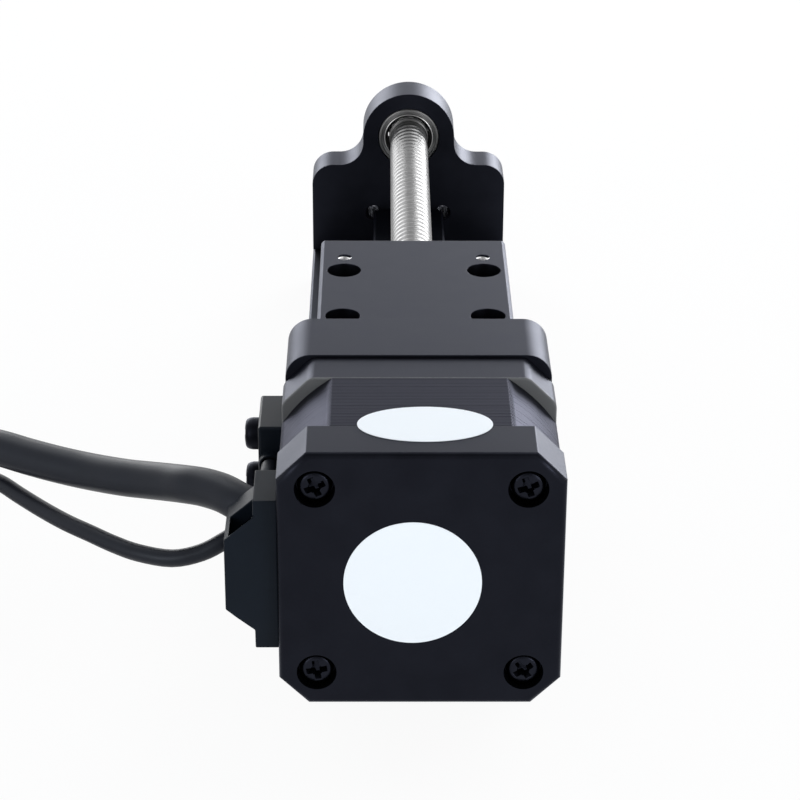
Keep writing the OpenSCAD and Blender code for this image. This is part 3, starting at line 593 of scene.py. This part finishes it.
def add_tie(name, place, width, height, turn):
    """A cable tie round a bundle on the floor: a band bent round it, and its head on top."""
    band, wall = 2.5, 0.9

    def lengthwise(half):
        return lambda m: abs(abs(m.x) - half) < 0.01 and abs(m.y) < 0.01

    tie = block(name, (0, 0, (height + wall) / 2), (width + 2 * wall, band, height + wall))
    soften(tie, wall + 0.8, 5, lengthwise(width / 2 + wall))
    hole = block("hole", (0, 0, height / 2 + 0.12), (width, 3 * band, height - 0.24))
    soften(hole, 0.8, 4, lengthwise(width / 2))
    modify(tie, "BOOLEAN", operation="DIFFERENCE", object=hole, solver="EXACT")
    removed(hole)
    head = block("head", (0, 0, height + wall + 1.1), (4.4, 4.6, 3.2), 0.35)
    tie = joined(name, [tie, head])
    tie.data.transform(Matrix.Translation(Vector(place) * MM)
                       @ Matrix.Rotation(math.radians(turn), 4, "Z"))
    finished(crisp(tie), "base", "plug_plastic", TIE_NYLON)
    return tie


def motor_cable_path():
    r, low, high = MOTOR_COIL_R, MOTOR_CABLE_D / 2, MOTOR_CABLE_D * 1.5
    coil = coil_points(MOTOR_COIL_CENTRE,
                       [(8, r, low), (262, r, low), (342, r, high), (540, r, high)])
    tail = tail_points(coil[-1], MOTOR_TAIL, MOTOR_PLUG[2] / 2)
    return smooth_route(MOTOR_ROUTE + coil + tail)


def sensor_cable_path():
    low, high = SENSOR_CABLE_D / 2, SENSOR_CABLE_D * 1.5
    out, inn = SENSOR_COIL_R + low, SENSOR_COIL_R - low
    coil = coil_points(SENSOR_COIL_CENTRE, [
        (120, 15.5, low), (150, out, low), (410, out, low), (470, inn, low), (765, inn, low),
        (828, inn, high), (1120, inn, high), (1190, out, high), (1260, out, high)])
    tail = tail_points(coil[-1], SENSOR_TAIL, SENSOR_PLUG[2] / 2)
    return smooth_route(SENSOR_ROUTE + coil + tail)


motor_path, sensor_path = motor_cable_path(), sensor_cable_path()
motor_lead = add_cable("motor_lead", motor_path, MOTOR_CABLE_D,
                       "motor_cable", "motor_cable_coil", "motor_cable_tail")
sensor_lead = add_cable("sensor_lead", sensor_path, SENSOR_CABLE_D,
                        "sensor_cable", "sensor_cable_coil", "sensor_cable_tail")


def add_connector(node, size, ways):
    """Plug on a cable's end: a moulded shell, a ribbed latch, and contacts in its openings."""
    lowest, highest = (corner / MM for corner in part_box(node))
    x0, y0 = (lowest.x + highest.x) / 2, lowest.y
    width, length, height = size
    shell = block(node + "_shell", (x0, y0 + length / 2, height / 2), size, 0.3, 3)
    contacts = []
    for i in range(ways):
        x = x0 + (i - (ways - 1) / 2) * CONTACT_PITCH
        opening = block("opening", (x, y0 + length * 0.3 - 0.5, height / 2),
                        (1.4, length * 0.6 + 1, 1.4))
        modify(shell, "BOOLEAN", operation="DIFFERENCE", object=opening, solver="EXACT")
        removed(opening)
        contacts.append(block("contact", (x, y0 + length * 0.33, height / 2),
                              (0.6, length * 0.56, 0.6), 0.1))
    latch = [block("latch", (x0, y0 + 0.5 + length * 0.3, height + 0.25),
                   (width / 3, length * 0.6, 0.9), 0.12)]
    for i in range(3):
        latch.append(block("rib", (x0, y0 + length * 0.3 + i, height + 0.72),
                           (width / 3 - 0.6, 0.45, 0.3), 0.08))
    shell = crisp(joined(node + "_shell", [shell, *latch]))
    pins = crisp(joined(node + "_contacts", contacts))
    finished(shell, "base", "plug_plastic", PLUG_NYLON, node)
    finished(pins, "base", "bearing_steel", TIN)
    return [shell, pins]


def on_coil(centre, radius, angle):
    """A place on the floor under a coil, at an angle in degrees."""
    return (centre[0] + radius * math.cos(math.radians(angle)),
            centre[1] + radius * math.sin(math.radians(angle)), 0)


motor_plug = add_connector("motor_connector", MOTOR_PLUG, 4)
sensor_plug = add_connector("sensor_connector", SENSOR_PLUG, 3)
motor_ties = [add_tie("motor_lead_tie_%d" % i, on_coil(MOTOR_COIL_CENTRE, MOTOR_COIL_R, angle),
                      MOTOR_CABLE_D, 2 * MOTOR_CABLE_D, angle)
              for i, angle in enumerate((28, 150))]
sensor_ties = [add_tie("sensor_lead_tie", on_coil(SENSOR_COIL_CENTRE, SENSOR_COIL_R, -60),
                       2 * SENSOR_CABLE_D, 2 * SENSOR_CABLE_D, -60)]
motor_path[0] * MM
sensor_path[0] * MM


# ---------- solids with rounded edges ----------

for node, name, body, slot, finish, *rounding in (
        ("base_plate", "plate", "base", "anodised", ANODISED, 0.15),
        ("guide_rail", "rail", "base", "rail_steel", RAIL_STEEL, 0.10),
        ("slide_table", "table", "table", "anodised", ANODISED, 0.12),
        ("rail_block", "block", "table", "block_steel", BLOCK_STEEL, 0.25),
        ("rail_block_end_caps", "block_end_caps", "table", "cap_plastic", CAP_PLASTIC, 0.5, 3),
        ("ball_nut", "nut", "table", "nut_steel", NUT_STEEL, 0.25),
        ("mount_block", "motor_bracket", "base", "anodised", ANODISED, 0.15),
        ("end_block", "bearing_bracket", "base", "anodised", ANODISED, 0.15)):
    finished(crisp(soften(copy_of(node, name), *rounding)), body, slot, finish, node)


def outer_rim(y, half=FACE_HALF, chamfer=BELL_CHAMFER):
    """A test that picks the edges round a bell's outline at a place along Y."""
    def picks(middle):
        x, z = abs(middle.x), abs(middle.z - AXIS_Z)
        outline = max(x, z) > half - 0.4 or x + z > 2 * half - chamfer - 0.4
        return abs(middle.y - y) < 0.02 and outline
    return picks


def add_bells():
    rear = copy_of("motor_rear_bell", "rear_bell")
    rear_rim = outer_rim(MOTOR_REAR)
    soften(rear, 1.0, 5, rear_rim)
    hole_x, hole_z = (spacing / 2 for spacing in MOTOR_HOLES)

    def other_edge(m):
        """Edges clear of the rounded rim, and the rims of the screws' recesses."""
        depth = abs(m.y - MOTOR_REAR)
        off_hole = math.hypot(abs(m.x) - hole_x, abs(m.z - AXIS_Z) - hole_z)
        return (m.y > MOTOR_REAR - 0.01 and not rear_rim(m) and depth > 1.1
                or depth < 0.01 and off_hole < 3.1)

    soften(rear, 0.15, 2, other_edge)
    finished(crisp(rear), "base", "bell_paint", ENAMEL, "motor_rear_bell")
    front = copy_of("motor_front_bell", "front_bell")
    back_rim, fore_rim = outer_rim(FRONT_BELL_BACK), outer_rim(MOTOR_FRONT)
    middle = (FRONT_BELL_BACK + MOTOR_FRONT) / 2    # middle of the edges along the screw
    soften(front, 0.8, 4, lambda m: abs(m.y - middle) < 0.6 and abs(m.x) > 16)
    soften(front, 0.25, 3, lambda m: back_rim(m) or fore_rim(m))
    # The front bell gets the enamel with painted light, lighter overall and grey on its rear edge
    # and face
    finished(crisp(front), "base", "bell_paint", PAINTED_LIGHT_ENAMEL, "motor_front_bell")


add_bells()


# ---------- cable boot and sensor ----------

def prism(name, outline, turn, start, depth):
    """An outline in mm pushed along local Z, then turned into place."""
    mesh = bpy.data.meshes.new(name)
    count = len(outline)
    sides = [(i, (i + 1) % count, (i + 1) % count + count, i + count) for i in range(count)]
    mesh.from_pydata([(x * MM, y * MM, z * MM) for z in (0, depth) for x, y in outline], [],
                     [range(count), range(count, 2 * count), *sides])
    mesh.transform(Matrix.Translation(Vector(start) * MM) @ turn)
    piece = bpy.data.objects.new(name, mesh)
    bpy.context.scene.collection.objects.link(piece)
    return outwards(piece)


def add_boot():
    """A flange on the motor's side, and a hollow hood that is open at its top."""
    low, high = (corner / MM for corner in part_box("cable_boot"))
    flange, mid = -24.7, AXIS_Z
    hood_root, hood_end = 9.55, 5.85    # half heights of the hood
    wall, far_wall = 0.7, 4.5
    profile = [(high.x, low.z), (flange, low.z), (flange, mid - hood_root),
               (low.x, mid - hood_end), (low.x, mid + hood_end),
               (flange, mid + hood_root), (flange, high.z), (high.x, high.z)]
    side = [(low.y + 0.6, low.z), (low.y, mid - 7.2), (low.y, mid + 4.2), (low.y + 1, high.z),
            (high.y + 1, high.z), (high.y + 1, low.z)]
    facing_y = Matrix.Rotation(math.pi / 2, 4, "X")
    facing_x = Matrix.Rotation(math.pi / 2, 4, "Z") @ Matrix.Rotation(math.pi / 2, 4, "X")
    boot = prism("boot", profile, facing_y, (0, high.y, 0), high.y - low.y)
    fall = prism("fall", side, facing_x, (low.x - 1, 0, 0), high.x - low.x + 2)
    modify(boot, "BOOLEAN", operation="INTERSECT", object=fall, solver="EXACT")
    room = block("room",
                 ((low.x + wall + flange) / 2, (low.y + wall + high.y - far_wall) / 2, mid + 9),
                 (flange - low.x - wall, high.y - low.y - (wall + far_wall), 27.7))
    modify(boot, "BOOLEAN", operation="DIFFERENCE", object=room, solver="EXACT")
    removed(fall, room)
    finished(crisp(soften(boot, 0.2)), "base", "boot_plastic", BOOT_NYLON, "cable_boot")


add_boot()
finished(crisp(soften(copy_of("home_sensor", "sensor"), 0.15)), "base", "sensor_plastic",
         SENSOR_PLASTIC, "home_sensor")


# ---------- end bearing ----------

def both_faces(outline):
    """An outline drawn for a bearing's near face, and its mirror image for the far face."""
    return [outline, [(r, BEARING_WIDTH - y) for r, y in outline]]


def add_end_bearing():
    far = BEARING_WIDTH
    outer = [(5.75, 0.3), (5.9, 0.0), (6.2, 0.0), (6.5, 0.3), (6.5, far - 0.3), (6.2, far),
             (5.9, far), (5.75, far - 0.3), (5.35, far - 0.35), (5.3, 3.4), (5.55, 2.5),
             (5.3, 1.6), (5.35, 0.35)]
    inner = [(3.0, 0.6), (3.1, 0.5), (4.1, 0.5), (4.2, 0.6), (4.2, 1.6), (3.95, 2.5),
             (4.2, 3.4), (4.2, far - 0.15), (4.05, far), (3.15, far), (3.0, far - 0.15)]
    rings = (("bearing_outer_ring", outer, "base", "end_bearing_outer_ring"),
             ("bearing_inner_ring", inner, "screw", "end_bearing_inner_ring"))
    for name, outline, body, node in rings:
        ring = on_axis(turned(name, outline, closed=True), BEARING_Y)
        finished(smooth(ring, 30), body, "bearing_steel", BEARING_STEEL, node)
    shield = [(5.75, 0.34), (5.5, 0.38), (5.36, 0.62), (5.27, 0.34), (5.2, 0.12), (5.1, 0.06),
              (5.0, 0.12), (4.93, 0.34), (4.8, 0.62), (4.6, 0.9), (4.42, 1.2), (4.47, 1.22),
              (4.68, 0.98), (4.9, 0.7), (5.03, 0.4), (5.1, 0.32), (5.18, 0.42), (5.3, 0.74),
              (5.42, 0.74), (5.56, 0.5), (5.75, 0.48)]
    shields = [on_axis(turned("shield", side, closed=True), BEARING_Y)
               for side in both_faces(shield)]
    finished(smooth(joined("bearing_shields", shields), 40), "base", "bearing_steel",
             BEARING_STEEL, "end_bearing_shields")


add_end_bearing()


# ---------- lamination stack ----------

def add_laminations():
    """A stack of thin sheets, each out of line by a hair."""
    sheets = 32
    low, high = (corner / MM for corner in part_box("stator_core"))
    pitch = (high.y - low.y) / sheets
    sheet = copy_of("stator_core", "lamination")
    sheet.data.transform(Matrix.Translation((0, low.y * MM, 0))
                         @ Matrix.Scale(pitch / (high.y - low.y), 4, (0, 1, 0))
                         @ Matrix.Translation((0, -low.y * MM, 0)))
    outline = max(abs(high.x), abs(low.x))
    soften(sheet, 0.03, 1, lambda m: max(abs(m.x), abs(m.z - AXIS_Z)) > outline - 0.1)
    slip = 0.008
    stack = []
    for i in range(sheets):
        shift = Vector((random.uniform(-slip, slip), i * pitch, random.uniform(-slip, slip)))
        stack.append(placed(sheet, Matrix.Translation(shift * MM)))
    removed(sheet)
    return joined("laminations", stack)


finished(crisp(add_laminations()), "base", "lamination", LAMINATION, "stator_core")


# ---------- ball screw ----------

def groove(radius, depth, width, steps=8):
    """One lead of the screw's outline: a land, and a shallow round groove for the balls."""
    points = [(radius, 0)]
    for i in range(steps + 1):
        t = i / steps
        points.append((radius - depth * math.sin(math.pi * t) ** 1.3, LEAD - width + width * t))
    return points


def add_ball_screw():
    node_low, node_high = (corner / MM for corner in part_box("ball_screw"))
    start, end = -76.0, 74.0
    turns = int((end - start) / LEAD)
    thread = turned("thread", groove(4.0, 0.20, 1.6), steps=48, height=LEAD, turns=turns)
    in_edit(thread, (bpy.ops.mesh.remove_doubles, {"threshold": 2e-6}))
    take(thread)
    bpy.ops.object.mode_set(mode="EDIT")
    bpy.ops.mesh.select_all(action="DESELECT")
    bpy.ops.mesh.select_non_manifold()
    bpy.ops.mesh.fill_holes(sides=0)
    bpy.ops.object.mode_set(mode="OBJECT")
    on_axis(outwards(thread), start)
    rear = [(0, node_low.y), (2.3, node_low.y), (2.5, node_low.y + 0.2), (2.5, -109.0),
            (4, -109.0), (4, -81.0), (3.4, -81.0), (3.4, -79.5), (4, -78.9), (4, start + 0.2),
            (0, start + 0.2)]
    far = [(0, 73.8), (3.9, 73.8), (3.9, 74.0), (3.6, 74.3), (3, 74.3), (3, 79.5), (2.6, 79.5),
           (2.6, 80.1), (3, 80.1), (3, node_high.y - 0.4), (2.6, node_high.y), (0, node_high.y)]
    ends = [on_axis(turned("end", rounded(part, 0.08, 2), steps=64)) for part in (rear, far)]
    return joined("ball_screw_shaft", [thread, *ends])


finished(smooth(add_ball_screw(), 40), "screw", "screw_steel", SCREW_STEEL, "ball_screw")


# ---------- screws ----------

def shank_outline(shank, length):
    """A screw's outline below its head, with a chamfered end."""
    radius, chamfer = shank / 2, 0.4
    return [(radius, 0), (radius, -length + chamfer), (radius - chamfer, -length), (0, -length)]


def socket_head(name, shank, head, height, key, length):
    """Hexagon socket head cap screw along Z, its seat at 0 and its shank below."""
    outline = rounded([(0, height), (head / 2 - 0.35, height), (head / 2, height - 0.3),
                       (head / 2, 0), *shank_outline(shank, length)], 0.08, 2)
    screw = turned(name, outline, steps=48)
    bpy.ops.mesh.primitive_cylinder_add(vertices=6, radius=key / 2 / math.cos(math.pi / 6) * MM,
                                        depth=height * 1.2 * MM,
                                        location=(0, 0, height * 1.05 * MM))
    cutter = settle(added("hexagon"))
    modify(screw, "BOOLEAN", operation="DIFFERENCE", object=cutter, solver="EXACT")
    removed(cutter)
    return crisp(soften(screw, 0.06, 2, lambda m: m.z > height - 0.7))


def cross_head(name, shank, head, height, length):
    """Cross recessed pan head screw along Z, its seat at 0."""
    crown = [(head / 2 * r, height * z) for r, z in
             ((0, 1), (0.3, 0.99), (0.55, 0.965), (0.76, 0.92), (0.88, 0.84), (0.96, 0.68),
              (1, 0.45), (1, 0.02), (0.98, 0))]
    screw = turned(name, crown + shank_outline(shank, length), steps=56)
    depth = height * 0.62
    for angle in (0, 90):
        bpy.ops.mesh.primitive_cube_add(
            size=1, location=(0, 0, (height - depth / 2 + 0.15) * MM),
            scale=(head * 0.70 * MM, head * 0.20 * MM, (depth + 0.3) * MM))
        wing = settle(added("wing"))
        for vertex in wing.data.vertices:
            if vertex.co.z < (height - depth / 2) * MM:
                vertex.co.x *= 0.5
                vertex.co.y *= 0.6
        wing.data.transform(Matrix.Rotation(math.radians(angle), 4, "Z"))
        modify(screw, "BOOLEAN", operation="DIFFERENCE", object=wing, solver="EXACT")
        removed(wing)
    bpy.ops.mesh.primitive_cone_add(
        vertices=8, radius1=head * 0.10 * MM, radius2=head * 0.19 * MM,
        depth=depth * MM, location=(0, 0, (height - depth / 2 + 0.05) * MM))
    centre = settle(added("centre"))
    modify(screw, "BOOLEAN", operation="DIFFERENCE", object=centre, solver="EXACT")
    removed(centre)
    return crisp(soften(screw, 0.06, 2, lambda m: m.z > height * 0.3, angle=38))


def set_of_screws(screw, name, body, finish, node, places):
    """One piece of copies of a screw, each at (direction of its head, place in mm, turn)."""
    copies = [placed(screw, along(direction, place) @ Matrix.Rotation(math.radians(turn), 4, "Z"))
              for direction, place, turn in places]
    removed(screw)
    finished(joined(name, copies), body, "black_screw", finish, node)


def corners(dx, dy):
    return [(x * dx / 2, y * dy / 2) for x in (-1, 1) for y in (-1, 1)]


def screw_places(node):
    """Middle of each screw of a node along Y, from the frame's own mesh."""
    ys = sorted({round(v.co.y / MM, 1) for v in NODES[node].data.vertices})
    groups = [[ys[0]]]
    for y in ys[1:]:
        if y - groups[-1][-1] > 5:
            groups.append([])
        groups[-1].append(y)
    return [(g[0] + g[-1]) / 2 for g in groups]


# Shank, head and height of the head of each kind of screw, then the key of its socket, mm
M3_SOCKET = (3, 5.5, 3, 2.5)
M3_BUTTON = (3, 5.5, 1.65, 2)
M4_SOCKET = (4, 7, 4, 3)
M3_PAN = (3, 5.2, 2.4)
# Places across and along the plate of the screws that hold the two end blocks
BLOCK_SCREWS = [(-13, -76), (13, -76), (-13, 78.7), (13, 78.7)]


def add_screws():
    up, down, back, front, left = (0, 0, 1), (0, 0, -1), (0, -1, 0), (0, 1, 0), (-1, 0, 0)
    turns = [random.uniform(0, 60) for _ in range(20)]
    set_of_screws(socket_head("m3", *M3_SOCKET, 10), "rail_bolts", "base", OXIDE, "rail_screws",
                  [(up, (0, y, 15.5), turns[i])
                   for i, y in enumerate(screw_places("rail_screws"))])
    set_of_screws(socket_head("m3", *M3_SOCKET, 10), "table_bolts", "table", OXIDE,
                  "table_screws", [(up, (x, TABLE_Y + y, 32), turns[4 + i])
                                   for i, (x, y) in enumerate(corners(*TABLE_HOLES))])
    set_of_screws(socket_head("m4", *M4_SOCKET, 12), "block_bolts", "base", OXIDE,
                  "block_screws", [(down, (x, y, 4.4), turns[8 + i])
                                   for i, (x, y) in enumerate(BLOCK_SCREWS)])
    set_of_screws(socket_head("m3", *M3_SOCKET, 10), "motor_bolts", "base", OXIDE,
                  "motor_mounting_screws", [(front, (x, -77.5, AXIS_Z + z), turns[12 + i])
                                            for i, (x, z) in enumerate(corners(*MOTOR_HOLES))])
    set_of_screws(socket_head("m3_button", *M3_BUTTON, 10), "nut_bolts", "table", OXIDE,
                  "nut_screws", [(back, (x, -60.4, AXIS_Z + z), turns[16 + i])
                                 for i, (x, z) in enumerate(corners(*NUT_HOLES))])
    set_of_screws(cross_head("m3_pan", *M3_PAN, 25), "motor_case_bolts", "base", OXIDE,
                  "motor_through_screws",
                  [(back, (x, -113, AXIS_Z + z), turn)
                   for (x, z), turn in zip(corners(*MOTOR_HOLES), (10, 25, 35, 20))])
    set_of_screws(cross_head("m3_pan", *M3_PAN, 9.6), "sensor_bolts", "base", PHOSPHATE,
                  "sensor_screws",
                  [(left, (-25.4, -75, AXIS_Z + z), turn) for z, turn in ((-4, 15), (4, 40))])


add_screws()


# ---------- labels ----------

LABEL_THICKNESS = 0.12


def add_label(name, place, direction, width, length, node):
    bpy.ops.mesh.primitive_cylinder_add(vertices=160, radius=0.5, depth=LABEL_THICKNESS * MM)
    label = added(name)
    label.scale = (width * MM, length * MM, 1)
    settle(label)
    soften(label, 0.03, 2)
    label.data.transform(along(direction, place))
    finished(crisp(label), "base", "label", VINYL, node)


add_label("round_sticker", (-1.2, MOTOR_REAR - LABEL_THICKNESS / 2, AXIS_Z - 0.05), (0, -1, 0),
          20.4, 20.4, "round_label")
add_label("oval_sticker", (0.6, -106.2, STACK_TOP + LABEL_THICKNESS / 2), (0, 0, 1),
          20.0, 11.4, "oval_label")


# ---------- threads in tapped holes ----------

def add_threads():
    pitch, depth = 0.5, 6.0
    turns = int(depth / pitch) - 1
    crest = turned("tapping", [(1.24, 0), (0.99, 0.2), (0.99, 0.3), (1.24, 0.5)], steps=32,
                   height=pitch, turns=turns)
    feet = [Vector((x, TABLE_Y + y, TABLE_TOP - depth - 0.02)) for x, y in corners(*PAYLOAD_HOLES)]
    pieces = [placed(crest, Matrix.Translation(foot * MM)) for foot in feet]
    removed(crest)
    finished(smooth(joined("payload_threads", pieces), 50), "table", "screw_steel",
             BARE_ALUMINIUM)
    crest = turned("tapping", [(1.64, 0), (1.36, 0.3), (1.36, 0.38), (1.64, 0.68)], steps=32,
                   height=0.7, turns=10)
    pieces = [placed(crest, along((0, 1, 0), (side * 7.5, 74.9, 18.7))) for side in (-1, 1)]
    removed(crest)
    finished(smooth(joined("end_block_threads", pieces), 50), "base", "anodised", ANODISED)


add_threads()


# ---------- stage ----------

AMBIENT = 0.56
FLOOR_GLOW = 0.93    # share of the floor's own glow, to the camera and in reflections


def light_path(tree, *outputs):
    """1 for rays of any of these kinds, otherwise 0."""
    path = tree.nodes.new("ShaderNodeLightPath")
    total = path.outputs[outputs[0]]
    for name in outputs[1:]:
        add = tree.nodes.new("ShaderNodeMath")
        add.operation = "MAXIMUM"
        tree.links.new(total, add.inputs[0])
        tree.links.new(path.outputs[name], add.inputs[1])
        total = add.outputs[0]
    return total


def add_world():
    world = bpy.data.worlds.new("studio")
    bpy.context.scene.world = world
    world.use_nodes = True
    tree = world.node_tree
    tree.nodes.clear()
    ambient = tree.nodes.new("ShaderNodeBackground")
    ambient.inputs["Color"].default_value = (0.93, 0.96, 1, 1)
    ambient.inputs["Strength"].default_value = AMBIENT
    white = tree.nodes.new("ShaderNodeBackground")
    white.inputs["Color"].default_value = (1, 1, 1, 1)
    white.inputs["Strength"].default_value = 1.0
    mix = tree.nodes.new("ShaderNodeMixShader")
    out = tree.nodes.new("ShaderNodeOutputWorld")
    seen = light_path(tree, "Is Camera Ray", "Is Glossy Ray", "Is Transmission Ray")
    tree.links.new(seen, mix.inputs[0])
    tree.links.new(ambient.outputs[0], mix.inputs[1])
    tree.links.new(white.outputs[0], mix.inputs[2])
    tree.links.new(mix.outputs[0], out.inputs["Surface"])


def add_floor():
    bpy.ops.mesh.primitive_plane_add(size=8, location=(0, 0, -0.0002))
    floor = settle(added("floor"))
    finish = Finish("pale floor")
    tree = finish.tree
    pale = tree.nodes.new("ShaderNodeBsdfDiffuse")
    pale.inputs["Color"].default_value = (0.90, 0.91, 0.92, 1)
    glow = tree.nodes.new("ShaderNodeEmission")
    glow.inputs["Strength"].default_value = 1.0
    mix = tree.nodes.new("ShaderNodeMixShader")
    share = tree.nodes.new("ShaderNodeMath")
    share.operation = "MULTIPLY"
    share.inputs[1].default_value = FLOOR_GLOW
    out = tree.nodes.new("ShaderNodeOutputMaterial")
    seen = light_path(tree, "Is Camera Ray", "Is Glossy Ray", "Is Transmission Ray")
    tree.links.new(seen, share.inputs[0])
    tree.links.new(share.outputs[0], mix.inputs[0])
    tree.links.new(pale.outputs[0], mix.inputs[1])
    tree.links.new(glow.outputs[0], mix.inputs[2])
    tree.links.new(mix.outputs[0], out.inputs["Surface"])
    floor.data.materials.append(finish.material)


def add_lamp(name, place, size, power):
    """A soft box that faces the module."""
    lamp = bpy.data.lights.new(name, "AREA")
    lamp.shape = "RECTANGLE"
    lamp.size, lamp.size_y = size
    lamp.energy = power
    holder = bpy.data.objects.new(name, lamp)
    holder.location = place
    facing = Vector((0, 0, 0.03)) - Vector(place)
    holder.rotation_euler = facing.to_track_quat("-Z", "Y").to_euler()
    bpy.context.scene.collection.objects.link(holder)


def add_card(name, place, size, turn, level):
    """A grey card of the studio. Only reflections show it."""
    bpy.ops.mesh.primitive_plane_add(size=1, location=place, rotation=(turn, 0, 0),
                                     scale=(*size, 1))
    card = settle(added(name))
    card.visible_camera = card.visible_diffuse = card.visible_shadow = False
    finish = Finish(name)
    tree = finish.tree
    glow = tree.nodes.new("ShaderNodeEmission")
    glow.inputs["Color"].default_value = (level, level, level, 1)
    out = tree.nodes.new("ShaderNodeOutputMaterial")
    tree.links.new(glow.outputs[0], out.inputs["Surface"])
    card.data.materials.append(finish.material)


add_world()
add_floor()
add_lamp("key_left", (-0.6, 0.75, 1.1), (0.5, 0.9), 2.2)
add_lamp("key_right", (0.6, 0.75, 1.1), (0.5, 0.9), 4.0)
add_lamp("back_left", (-0.6, 1.1, 0.27), (0.8, 0.5), 4.5)
add_lamp("back_right", (0.6, 1.1, 0.27), (0.8, 0.5), 9.0)
add_lamp("front_left", (-0.9, -0.9, 0.35), (0.5, 0.6), 3.8)
add_lamp("front_right", (0.9, -0.9, 0.35), (0.5, 0.6), 5.6)
add_card("ceiling", (0, -0.5, 1.2), (2.4, 2.2), 0, 0.16)
add_card("far_side", (0, 1.6, 0.89), (1.0, 0.36), math.pi / 2, 0.72)
add_card("far_low", (0, 1.6, 0.33), (1.8, 0.5), math.pi / 2, 1.3)
add_card("camera_side", (0, -1.6, 0.8), (2.4, 0.8), math.pi / 2, 0.3)
bpy.context.scene.view_settings.view_transform = "Standard"
